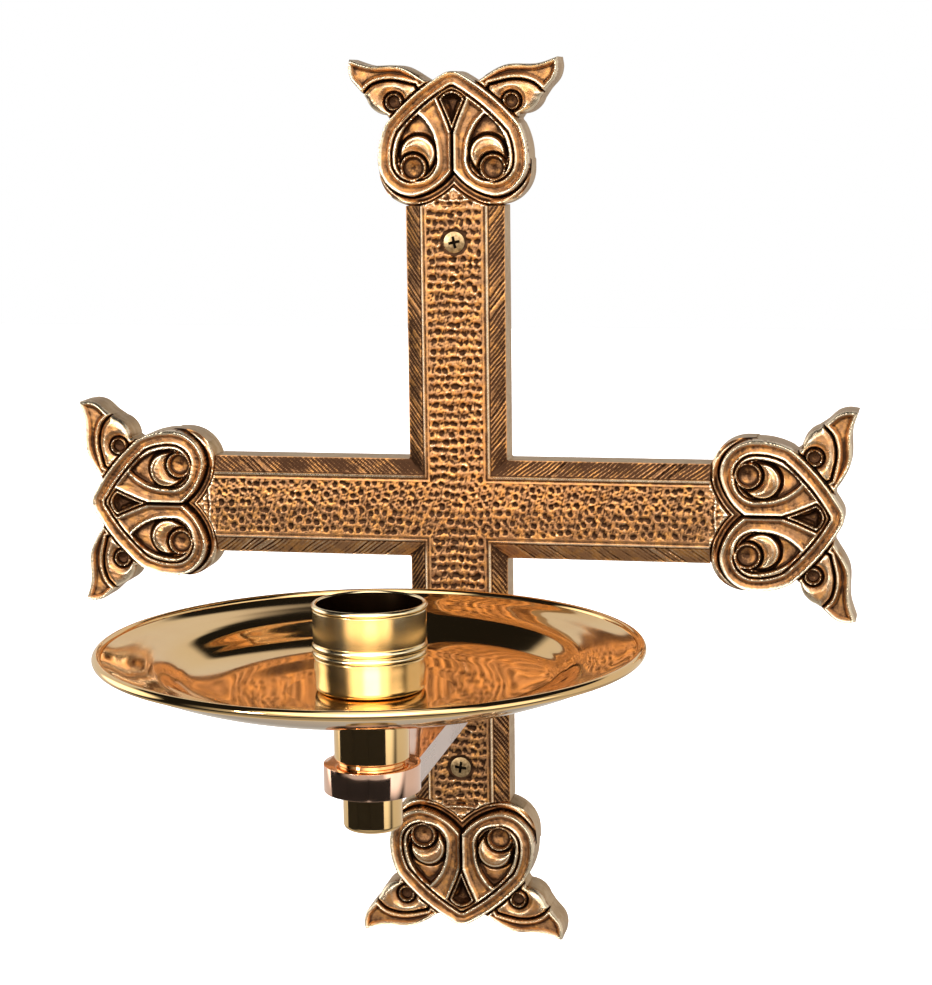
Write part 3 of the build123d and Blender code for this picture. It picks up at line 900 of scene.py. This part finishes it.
@dataclass
class Finial:
    """One of the four carved ends: a heart of two lobes on a low step, with a pair of leaves.

    It is drawn in its own plane: v across, u outwards from the line of its dimples.
    """

    name: str
    node: str
    outward: Vector
    reach: float
    seed: int
    bar: WallCross
    pitch: float = 0.3
    heart_height: float = 18.7
    step_height: float = 14.0
    wing_height: float = 17.2
    floor_height: float = 15.0
    rim_width: float = 6.0
    channel_depth: float = 1.35
    groove_depth: float = 2.0
    lobe: tuple[float, float] = (17.1, 3.3)
    lobe_radius: float = 14.7
    tip: float = 39.9
    step_u: float = -15.5
    step_radius: float = 15.2
    dimple: tuple[float, float] = (16.9, 0.4)
    dimple_radius: float = 4.2
    curl: tuple[float, float] = (14.7, 6.2)
    curl_radius: float = 7.7
    leaf_dimple: tuple[float, float] = (24.8, 27.5)
    leaf_reach: ClassVar[float] = 45.2
    socket: tuple[float, float, float] = (12.3, 30.3, 7.0)
    pockets: tuple[tuple[float, float, float], ...] = ((-21.6, 1.5, 7.5), (21.6, 1.5, 7.5), (0, 25.0, 8.0))

    def __post_init__(self) -> None:
        """Draws the outlines."""
        self.heart = self._heart()
        self.step = self._step()
        self.wing = self._wing()
        self.teardrop = Outline(np.vstack([
            arc((6.4, 5.5), (15.6, -5.2), (24.0, 5.5), 30),
            arc((24.0, 5.5), (21.2, 14.8), (14.0, 22.4), 16),
            arc((14.0, 22.4), (8.4, 15.0), (6.4, 5.5), 16),
        ]))
        half = np.vstack([[(0, 14.6)], bow([(0.6, 15.6), (2.4, 20.5), (5.9, 28.6)], 6),
                          arc((5.9, 28.6), (3.4, 31.2), (0, 32.4), 8), [(0, 32.4)]])
        self.fan = Outline.mirrored(half)
        self.seam = Outline(np.array([(0, -0.6), (0, 14.6)]), closed=False)
        self.leaf_lobe = Outline(np.vstack([
            bow([(38.8, 30.8), (33.6, 35.2), (25.6, 36.6), (15.5, 34.6)]),
            [(15.5, 34.6), (13.0, 30.0), (24.0, 19.0), (34.0, 21.0), (39.5, 27.0)],
        ]))

    def _heart(self) -> Outline:
        """The two lobes, their notch, and the tip."""
        (v, u), r = self.lobe, self.lobe_radius
        return Outline.mirrored(np.vstack([
            arc((0, -0.6), (6.2, u - 10.2), (v, u - r), 16),
            arc((v, u - r), (v + 0.75 * r, u - 0.66 * r), (v + r, u), 20),
            arc((v + r, u), (v + r - 0.9, u + 8.5), (28.3, 18.5), 12),
            arc((28.3, 18.5), (16.9, 29.9), (4.0, self.tip - 1.0), 16),
            arc((4.0, self.tip - 1.0), (2.2, self.tip - 0.2), (0, self.tip), 6),
            [(0, self.tip)],
        ]))

    def _step(self) -> Outline:
        """The low step round the lobes."""
        v, r = self.lobe[0], self.step_radius
        corner = (v + r * math.sqrt(0.5), self.step_u + r * (1 - math.sqrt(0.5)))
        return Outline.mirrored(np.vstack([
            [(0, self.step_u)],
            arc((v, self.step_u), corner, (v + r, self.step_u + r), 24),
            [(v + r, self.step_u + r), (v + r, self.lobe[1]), (24.0, 20.0), (0, 20.0)],
        ]))

    def _wing(self) -> Outline:
        """The long leaf and the rounded one below it."""
        return Outline.mirrored(np.vstack([
            [(0, 18.0), (25.5, 18.0)],
            arc((28.4, 22.2), (34.2, 24.6), (36.8, 28.6), 12),
            bow([(36.8, 28.6), (39.4, 32.4), (43.0, 36.6), (44.3, 41.0), (43.8, self.leaf_reach)]),
            bow([(43.8, self.leaf_reach), (35.0, 42.6), (22.0, 42.2), (11.0, 36.2)]),
            [(11.0, 36.2), (0, 36.2)],
        ]))

    def height(self, p: Array) -> Array:
        """Height of the carved front at points (v, u)."""
        q = np.c_[np.abs(p[:, 0]), p[:, 1]]
        in_heart = self.heart.depth(q)
        in_wing = self.wing.depth(q)
        over_wing = ease(in_wing, -0.35, 0.25) * ease(q[:, 1], 19.0, 21.0)
        low = self._step_height(q, in_heart)
        low = low + (self._wing_height(q, in_heart, in_wing) - low) * over_wing
        top = self._heart_height(q, in_heart)
        carved = low + (top - low) * ease(in_heart, -0.35, 0.3)
        return carved + 0.07 * ripple(p, 8, self.seed) + 0.05 * ripple(p, 2.6, self.seed + 1)

    def _step_height(self, q: Array, in_heart: Array) -> Array:
        """The rounded crescents along the lobes, and the bar that runs in between them."""
        v, u = q.T
        edge = self.step.depth(q)
        out = -in_heart
        crescent = self.step_height - 1.5 * (1 - ease(edge, 0, 1.3)) + 0.5 * ridge(edge, 1.7, 1.2)
        crescent = crescent - 1.5 * ridge(out, 0.2, 1.2) + 0.9 * ridge(out, 3.3, 1.0)
        along = self.outward * self.reach
        across = self.outward.cross(Vector((0, -1, 0)))
        wall = np.outer(v, (across.x, across.z)) + np.outer(u, (self.outward.x, self.outward.z))
        field = self.bar.height(wall + np.array([along.x, along.z]))
        lip = ridge(u - self.step_u - 2.2 - 0.012 * v * v, 0, 1.1) * ease(9.0 - v, 0, 2)
        field = np.maximum(field, self.step_height - 0.9) + 0.9 * lip
        return crescent + (field - crescent) * ease(out, 3.9, 4.7) * ease(self.bar.half - v, 0, 0.6)

    def _wing_height(self, q: Array, in_heart: Array, in_wing: Array) -> Array:
        """The leaves: a raised border round a hollow, and a curled lobe round a dimple."""
        in_lobe = self.leaf_lobe.depth(q)
        hub = np.hypot(*(q - np.array(self.leaf_dimple)).T)
        leaf_edge = np.minimum.reduce([in_wing, -in_lobe, -in_heart])
        leaf = self.wing_height - 1.7 * ease(leaf_edge, 0.9, 3.0) + 0.2 * ridge(leaf_edge, 0.9, 0.8)
        lobe_edge = np.minimum.reduce([in_lobe, in_wing + 0.3, hub - 3.9])
        lobe = self.wing_height - 2.0 + 2.2 * np.sqrt(ease(lobe_edge, 0, 3.2))
        lobe = lobe - 1.0 * ridge(hub, 4.2, 0.7)
        cup = self.floor_height - 1.2 + 0.2 * np.clip(hub, 0, 3) + 2.9 * ridge(hub, 3.1, 0.9)
        lobe = np.where(hub < 3.9, cup, lobe)
        surface = lobe + (leaf - lobe) * ease(-in_lobe, -0.25, 0.25) - 2.0 * ridge(in_lobe, 0.1, 0.95)
        return surface - 1.3 * (1 - ease(in_wing, 0, 0.8)) - 1.9 * ridge(-in_heart, 0.2, 1.2)

    def _heart_height(self, q: Array, in_heart: Array) -> Array:
        """The rim's channel, the stems, and the hollows of the lobes and the fan."""
        v, u = q.T
        in_drop = self.teardrop.depth(q)
        in_fan = self.fan.depth(q)
        seam, _ = self.seam.nearest(q)
        away = ease(np.maximum(v - 12, u - 10), 0, 2)
        line = np.abs(in_heart - self.rim_width)
        inner = np.where(away > 0.02, line, 9.0)
        edge = np.minimum.reduce([in_heart, -in_drop, -in_fan, seam, inner])
        band = self.heart_height - self.channel_depth * ease(edge, 0.55, 2.9)
        band = band - self.groove_depth * away * ridge(line, 0, 0.85) * ease(-in_drop, -0.2, 0.6)
        band = band - 2.4 * ridge(seam, 0, 0.9) - 0.8 * (1 - ease(in_heart, 0, 0.6))
        band = band - 1.6 * ridge(in_fan, 0.1, 0.8)
        drop = self._drop_height(q, in_drop)
        fan = self.floor_height + 1.6 + 1.6 * ridge(in_fan, 1.0, 0.9) - 2.6 * ease(in_fan, 1.0, 4.0)
        fan = fan - 1.2 * ridge(in_fan, 0, 0.7)
        surface = band + (drop - band) * ease(in_drop, -0.25, 0.55)
        return surface + (fan - surface) * ease(in_fan, -0.1, 0.5)

    def _drop_height(self, q: Array, in_drop: Array) -> Array:
        """The floor of a lobe's hollow, with its curl and its cup."""
        hub = np.hypot(*(q - np.array(self.dimple)).T)
        curl = self.curl_radius - np.hypot(*(q - np.array(self.curl)).T)
        crescent = np.minimum(curl, hub - self.dimple_radius - 2.2)
        floor = self.floor_height + 0.25 * ripple(q, 7, self.seed + 2)
        floor = floor + 1.8 * ridge(in_drop, 1.0, 0.85) * (1 - ease(q[:, 1], 1, 7))
        pillow = self.floor_height + 0.8 + 2.4 * np.sqrt(ease(crescent, -0.2, 3.2))
        pillow = pillow + 0.5 * ridge(curl, 1.0, 0.8)
        surface = floor + (pillow - floor) * ease(crescent, -0.1, 0.7)
        surface = surface - 1.3 * ridge(crescent, -0.5, 0.8)
        r = self.dimple_radius
        cup = self.floor_height - 1.6 + 0.35 * np.clip(hub, 0, r) + 2.7 * ridge(hub, r + 0.8, 1.0)
        return np.where(hub < r + 1.5, cup, surface)

    def build(self, finish: bpy.types.Material) -> bpy.types.Object:
        """Makes the finial and dresses it.

        Args:
            finish: its material.

        Returns:
            The piece.
        """
        placing = wall_place(self.outward, self.reach)
        relief = Relief(self.name, self.pitch, (-45.0, self.step_u), (45.0, 45.6),
                        [self.step, self.wing, self.heart], self.height, wear_reach=0.9, placing=placing)
        piece = relief.build()
        toward = Vector((0, 0, 1))
        half, length, deep = self.socket
        tools = [block(Vector((-half, self.step_u - 1, -1)), Vector((half, self.step_u + length, deep)))]
        tools += [drill(Vector((v, u, -1)), r, 10.5, toward) for v, u, r in self.pockets]
        cut(piece, tools)
        relief.weather(piece)
        relief.place(piece)
        dress(piece, finish, "bracket", [self.node], Shade.SOFT)
        return piece


# ---------------------------------------------------------------- fasteners


@dataclass
class WallScrews:
    """The two countersunk screws: slightly domed brass heads with a cross recess."""

    head: float = 4.45
    dome: float = 0.5
    shank: float = 2.4
    recess: tuple[float, float, float] = (5.0, 1.2, 1.6)

    def build(self, finish: bpy.types.Material) -> None:
        """Makes both screws upright, then lays them over into the wall.

        Args:
            finish: their material.
        """
        low, high = node_box("wall_screws")
        front, tail = low.y, high.y
        spots = (high.z - self.head - 0.15, low.z + self.head + 0.15)
        for z, turn, name in zip(spots, (12, -7), ("upper_wall_screw", "lower_wall_screw")):
            self._one(name, Vector((0, front, z)), tail - front, turn, finish)

    def _one(self, name: str, place: Vector, length: float, turn: float, finish: bpy.types.Material) -> None:
        """One screw."""
        dome = arc((0, 0), (self.head * 0.6, -self.dome * 0.36), (self.head, -self.dome), 10)
        profile = np.vstack([dome, [
            (self.head, -self.dome), (self.head + 0.05, -self.dome - 0.2),
            (self.shank, -2.9), (self.shank, -15.0),
            (self.shank - 0.3, -16.6), (self.shank - 0.3, 6 - length), (0, -length),
        ]])
        piece = spun(name, Vector((0, 0, 0)), profile, 64)
        length, width, depth = self.recess
        slots = [block(Vector((-length, -width, -2 * depth)) / 2, Vector((length, width, 2 * depth)) / 2),
                 block(Vector((-width, -length, -2 * depth)) / 2, Vector((width, length, 2 * depth)) / 2)]
        cut(piece, slots, "EXACT")
        margin = 0.1

        def in_recess(face: bpy.types.MeshPolygon) -> bool:
            """Whether a face belongs to the recess: near the middle, and not the domed top."""
            place = face.center / MM
            on_top = place.z > -self.dome - margin / 2 and face.normal.z > 0.7
            return place.xy.length < length / 2 + margin and place.z > -depth - margin and not on_top

        # The recess faces carry the painted shade.
        mark_faces(piece, "painted_recess_shade", in_recess)
        lay = Matrix.Rotation(math.radians(90), 4, "X") @ Matrix.Rotation(math.radians(turn), 4, "Z")
        piece.data.transform(Matrix.Translation(place * MM) @ lay)
        nodes = ["wall_screws"] if "upper" in name else []
        dress(piece, finish, "bracket", nodes)


# ---------------------------------------------------------------- the arm


@dataclass
class BracketArm:
    """The flat arm: a bar with a round eye and softened edges."""

    edge: float = 0.9
    eye: float = 17.8
    bore: float = 11.0
    foot: float = 26.0

    def build(self, finish: bpy.types.Material, axis: Vector) -> bpy.types.Object:
        """Makes the arm.

        Args:
            finish: its material.
            axis: the holder's axis, in millimetres.

        Returns:
            The piece.
        """
        low, high = node_box("bracket_arm")
        face = high.y - 2.5
        half = 16.0
        piece = block(Vector((-half, axis.y, low.z)), Vector((half, face, high.z)))
        piece.name = piece.data.name = "arm"
        up = Vector((0, 0, 1))
        eye = drill(Vector((0, axis.y, low.z)), self.eye, high.z - low.z, up, corners=256)
        apply_modifier(piece, "BOOLEAN", operation="UNION", solver="EXACT", object=eye)
        bpy.data.objects.remove(eye)
        apply_modifier(piece, "BEVEL", width=self.edge * MM, segments=4, angle_limit=math.radians(40))
        near, far = (-self.foot / 2, face - 1, low.z + 0.15), (self.foot / 2, high.y, high.z - 0.15)
        foot = block(Vector(near), Vector(far))
        apply_modifier(piece, "BOOLEAN", operation="UNION", solver="MANIFOLD", object=foot)
        bpy.data.objects.remove(foot)
        cut(piece, [drill(Vector((0, axis.y, low.z - 1)), self.bore, 20, up, corners=128)])
        mark_faces(piece, "flat", lambda face: abs(face.normal.x) > 0.99 and face.center.y / MM > axis.y + 1)
        dress(piece, finish, "bracket", ["bracket_arm"])
        return piece


# ---------------------------------------------------------------- the holder


@dataclass
class Holder:
    """What turns on the arm: washer, stem, drip pan, candle socket and clamp screw."""

    pan_wall: float = 2.0
    pan_bead: float = 1.8
    bend: tuple[float, float] = (80.0, 8.0)
    dish: tuple[tuple[float, float], ...] = (
        (92.0, 14.2), (86.0, 12.9), (80.0, 11.5), (76.0, 10.0), (71.0, 6.8), (66.0, 4.1), (58.0, 2.3),
        (48.0, 1.4), (38.0, 0.5), (30.0, 0.0),
    )
    flat: float = 30.0
    socket_bore: float = 19.3
    socket_floor: float = 5.0
    hole: float = 3.3

    def __post_init__(self) -> None:
        """Reads the heights and radii from the frame."""
        low, high = node_box("drip_pan")
        self.axis = Vector(((low.x + high.x) / 2, (low.y + high.y) / 2, 0))
        self.pan_radius = (high.x - low.x) / 2
        self.pan_bottom, self.rim = low.z, high.z - self.pan_bead

    def pan(self, finish: bpy.types.Material) -> None:
        """The dished pan with its rolled bead."""
        r, z0, wall, bead = self.pan_radius - self.pan_bead, self.pan_bottom, self.pan_wall, self.pan_bead
        bend_r, bend_z = self.bend[0], z0 + self.bend[1]
        turn = np.radians(np.linspace(-112, 168, 40))
        roll = np.c_[r + bead * np.cos(turn), self.rim + bead * np.sin(turn)]
        under = arc((self.flat, z0), (bend_r, bend_z), tuple(roll[0]), 48)
        inside = bow([tuple(roll[-1]), *[(r_in, z0 + wall + rise) for r_in, rise in self.dish]], 12)
        profile = np.vstack([
            [(self.hole, z0)], under, roll, inside[1:],
            [(self.flat, z0 + wall), (12.0, z0 + wall), (self.hole, z0 + wall), (self.hole, z0)],
        ])
        piece = spun("dished_pan", self.axis, profile, 288)
        dress(piece, finish, "holder", ["drip_pan"], Shade.SOFT)

    def socket(self, finish: bpy.types.Material) -> None:
        """The candle socket: a plain drum with a double bead and a rolled lip."""
        low, high = node_box("candle_socket")
        bottom, top, bore = low.z, high.z, self.socket_bore
        seat = bottom + self.socket_floor
        bead = (bottom + 12.6, bottom + 18.0)
        profile = np.vstack([
            [(self.hole, bottom), (17.7, bottom)],
            arc((17.7, bottom), (19.5, bottom + 0.8), (20.3, bottom + 2.6), 10),
            [(20.3, bottom + 2.6), (20.3, bead[0] - 0.3), (20.05, bead[0])],
            arc((20.05, bead[0]), (20.95, bead[0] + 1.25), (20.2, bead[0] + 2.5), 10),
            arc((20.2, bead[0] + 2.5), (21.0, bead[0] + 3.9), (20.35, bead[1]), 10),
            [(20.35, bead[1]), (20.7, bead[1] + 0.4), (20.7, top - 2.5), (20.45, top - 2.2)],
            arc((20.55, top - 2.2), (21.1, top - 1.15), (20.4, top), 10),
            arc((20.4, top), (19.8, top - 0.0), (bore, top - 0.5), 4),
            [(bore, top - 0.5), (bore, seat), (6.3, seat), (self.hole, seat - 3.0), (self.hole, bottom)],
        ])
        piece = spun("socket", self.axis, profile, 224)

        def in_bore(face: bpy.types.MeshPolygon) -> bool:
            """Whether a face is inside the socket, below its lip."""
            place = face.center / MM - self.axis
            return place.xy.length < bore + 0.02 and seat - 4 < place.z < top - 0.6

        # The bore's faces carry the painted shade.
        mark_faces(piece, "painted_bore_shade", in_bore)
        dress(piece, finish, "holder", ["candle_socket"])

    def stem(self, finish: bpy.types.Material) -> None:
        """The column under the pan and the spigot that turns in the arm's eye."""
        low, high = node_box("holder_stem")
        _, washer = node_box("thrust_washer")
        column, spigot, step = 13.8, 10.92, washer.z
        profile = np.vstack([
            [(0, low.z), (spigot - 2.0, low.z)],
            arc((spigot - 2.0, low.z), (spigot - 0.586, low.z + 0.586), (spigot, low.z + 2.0), 10),
            [(spigot, low.z + 2.0), (spigot, step), (column - 0.8, step)],
            arc((column - 0.8, step), (column - 0.234, step + 0.234), (column, step + 0.8), 8),
            [(column, step + 0.8), (column, high.z), (3.0, high.z), (3.0, high.z - 17), (0, high.z - 17)],
        ])
        piece = spun("stem", self.axis, profile, 192)
        dress(piece, finish, "holder", ["holder_stem"])

    def washer(self, finish: bpy.types.Material) -> None:
        """The thrust washer between the column and the eye."""
        low, high = node_box("thrust_washer")
        outer, inner = (high.x - low.x) / 2, 11.02
        soft = 0.25
        profile = np.array([
            (inner, low.z), (outer - soft, low.z), (outer, low.z + soft), (outer, high.z - soft),
            (outer - soft, high.z), (inner, high.z), (inner, low.z),
        ])
        piece = spun("washer", self.axis, profile, 128)
        dress(piece, finish, "washer", ["thrust_washer"])


# ---------------------------------------------------------------- the studio


@dataclass(frozen=True)
class Glow:
    """A soft patch of light in the studio, seen only in the metal."""

    toward: Colour
    reach: float
    soft: float
    strength: float


@dataclass
class Studio:
    """Floor, lights, surroundings and camera."""

    eye: Colour = (0.20507, -1.00439, 0.17238)
    heading: float = 11.51
    tilt: float = 9.29
    roll: float = -0.69
    lens: float = 88.17
    floor: float = -0.60
    flag_turns: tuple[int, ...] = (-85, -33, 18)
    flag_top: float = -0.145
    flag_size: tuple[float, float] = (0.5, 0.2)
    glows: tuple[Glow, ...] = (
        Glow((-0.93, 0.20, 0.10), 0.93, 0.03, 1.6),
        Glow((0.92, -0.38, 0.05), 0.90, 0.06, 1.5),
        Glow((0.15, -0.80, 0.64), 0.80, 0.08, 2.5),
        Glow((0.25, -0.85, 0.42), 0.965, 0.02, 3.2),
        Glow((0.0, 0.1, 1.0), 0.98, 0.01, 1.4),
    )

    def build(self) -> None:
        """Sets the whole studio up."""
        self._floor()
        self._flags()
        self._surroundings()
        self._lights()
        self._camera()
        bpy.context.scene.view_settings.view_transform = "Standard"

    def _floor(self) -> None:
        """A plain pale floor, well below the lamp."""
        bpy.ops.mesh.primitive_plane_add(size=14, location=(0, 0, self.floor))
        ground = bpy.context.object
        ground.name = "floor"
        ground.visible_glossy = False
        material = bpy.data.materials.new("pale floor")
        g = Graph(material)
        shader = g.add("ShaderNodeBsdfPrincipled", None, {
            "Base Color": (0.92, 0.92, 0.92), "Roughness": 0.9,
            "Emission Color": (1, 1, 1), "Emission Strength": 1.0,
        })
        g.add("ShaderNodeOutputMaterial", None, {"Surface": shader.outputs[0]})
        ground.data.materials.append(material)

    def _surroundings(self) -> None:
        """White behind the lamp; round it, a dim room with soft patches of light."""
        world = bpy.data.worlds.new("studio")
        bpy.context.scene.world = world
        g = Graph(world)
        toward = g.add("ShaderNodeTexCoord").outputs["Generated"]
        axes = g.add("ShaderNodeSeparateXYZ", None, {0: toward})
        _, back, up = (Value(g, axis) for axis in axes.outputs)
        ahead, down = -1 * back, -1 * up
        wall = back.ramp(-0.05, 0.2) * (1 - up.ramp(0.52, 0.59)) * (0.70 - 0.36 * down.ramp(0.28, 0.5))
        table = down.ramp(0.40, 0.85) * 0.34
        front = ahead.ramp(0.35, 0.85) * (1 - up.ramp(0.26, 0.42)) * (1 - down.ramp(0.5, 0.8)) * 0.60
        light = wall + table + front + 0.012
        for glow in self.glows:
            inputs = {0: toward, 1: tuple(Vector(glow.toward).normalized())}
            node = g.add("ShaderNodeVectorMath", {"operation": "DOT_PRODUCT"}, inputs)
            dot = Value(g, node.outputs["Value"])
            light = light + dot.ramp(glow.reach - glow.soft, glow.reach + glow.soft) * glow.strength
        room = g.add("ShaderNodeBackground", None, {"Color": (1.0, 0.97, 0.93), "Strength": light})
        paper = g.add("ShaderNodeBackground", None, {"Color": (1, 1, 1), "Strength": 1.0})
        seen = g.add("ShaderNodeLightPath").outputs["Is Camera Ray"]
        mix = g.add("ShaderNodeMixShader", None, {0: seen, 1: room.outputs[0], 2: paper.outputs[0]})
        g.add("ShaderNodeOutputWorld", None, {"Surface": mix.outputs[0]})

    def _lights(self) -> None:
        """A small key light from the upper left, for the sparkle on the ridges."""
        lamp = bpy.data.lights.new("key", "AREA")
        lamp.size = 0.3
        lamp.energy = 9
        stand = bpy.data.objects.new("key", lamp)
        stand.location = (-0.9, -1.5, 0.25)
        stand.rotation_euler = (-stand.location).to_track_quat("-Z", "Y").to_euler()
        bpy.context.collection.objects.link(stand)

    def _flags(self) -> None:
        """Black cards below the view, which darken the front of the column and the spigot."""
        black = bpy.data.materials.new("black card")
        g = Graph(black)
        shader = g.add("ShaderNodeBsdfPrincipled", None, {"Base Color": (0.01, 0.01, 0.01), "Roughness": 0.9})
        g.add("ShaderNodeOutputMaterial", None, {"Surface": shader.outputs[0]})
        wide, high = self.flag_size
        for turn in self.flag_turns:
            way = Vector((0, -1, 0))
            way.rotate(Euler((0, 0, math.radians(self.heading + turn))))
            place = Vector((0, -0.175, self.flag_top - high / 2)) + 0.5 * way
            upright = way.to_track_quat("Z", "Y").to_euler()
            bpy.ops.mesh.primitive_plane_add(size=wide, location=place, rotation=upright)
            card = bpy.context.object
            card.name = f"flag{turn}"
            card.scale.y = high / wide
            card.visible_camera = False
            card.visible_shadow = False
            card.data.materials.append(black)

    def _camera(self) -> None:
        """The camera, in front of the lamp, a little to the right and above."""
        yaw, pitch, roll = (math.radians(a) for a in (self.heading, self.tilt, self.roll))
        ahead = Vector((-math.sin(yaw) * math.cos(pitch), math.cos(yaw) * math.cos(pitch), -math.sin(pitch)))
        right = Vector((math.cos(yaw), math.sin(yaw), 0))
        up = right.cross(ahead)
        right, up = (math.cos(roll) * right + math.sin(roll) * up,
                     math.cos(roll) * up - math.sin(roll) * right)
        camera = bpy.data.objects.new("camera", bpy.data.cameras.new("camera"))
        camera.data.lens = self.lens
        turn = Matrix((right, up, -ahead)).transposed().to_4x4()
        camera.matrix_world = Matrix.Translation(self.eye) @ turn
        camera.data.clip_end = 50
        bpy.context.collection.objects.link(camera)
        bpy.context.scene.camera = camera


# ---------------------------------------------------------------- all together


def finish_cad_nodes(materials: dict[str, bpy.types.Material]) -> None:
    """Gives the small CAD nodes that stay in sight their finishes."""
    for name, material in materials.items():
        node = bpy.data.objects[name]
        node.data.materials.clear()
        node.data.materials.append(material)
        LOG.info("%s: kept from the CAD model", name)


def main() -> None:
    """Builds the lamp and its studio."""
    logging.basicConfig(level=logging.INFO, format="%(message)s")
    antique = AntiqueBronze().make()
    gold = PolishedBronze("polished_bronze", (0.90, 0.61, 0.28), (0.85, 0.51, 0.21)).make()
    satin = PolishedBronze("satin_bronze", (0.99, 0.81, 0.50), (0.97, 0.73, 0.40), 0.16).make()
    copper = PolishedBronze("polished_arm", (0.92, 0.60, 0.44), (0.86, 0.50, 0.34), 0.07, turned=False).make()
    brass = PlainMetal("brass_screws", (0.56, 0.39, 0.20), (0.30, 0.19, 0.09), 0.34).make()
    steel = PlainMetal("fixing_steel", (0.62, 0.62, 0.60), (0.42, 0.42, 0.42), 0.38).make()

    cross = WallCross()
    cross.build(antique)
    _, top = node_box("finial_top")
    _, right = node_box("finial_right")
    up_reach, side_reach = top.z - Finial.leaf_reach, right.x - Finial.leaf_reach
    ends = (
        ("top", Vector((0, 0, 1)), up_reach), ("bottom", Vector((0, 0, -1)), up_reach),
        ("left", Vector((-1, 0, 0)), side_reach), ("right", Vector((1, 0, 0)), side_reach),
    )
    for seed, (name, outward, reach) in enumerate(ends):
        Finial(f"{name}_finial_carved", f"finial_{name}", outward, reach, 20 + 7 * seed, cross).build(antique)
    WallScrews().build(brass)

    holder = Holder()
    BracketArm().build(copper, holder.axis)
    holder.pan(gold)
    holder.socket(satin)
    holder.stem(gold)
    holder.washer(gold)
    finish_cad_nodes({
        "finial_screws": steel, "arm_bolts": steel, "arm_bolt_washers": steel, "clamp_screw": brass,
    })
    Studio().build()


if __name__ == "__main__":
    main()
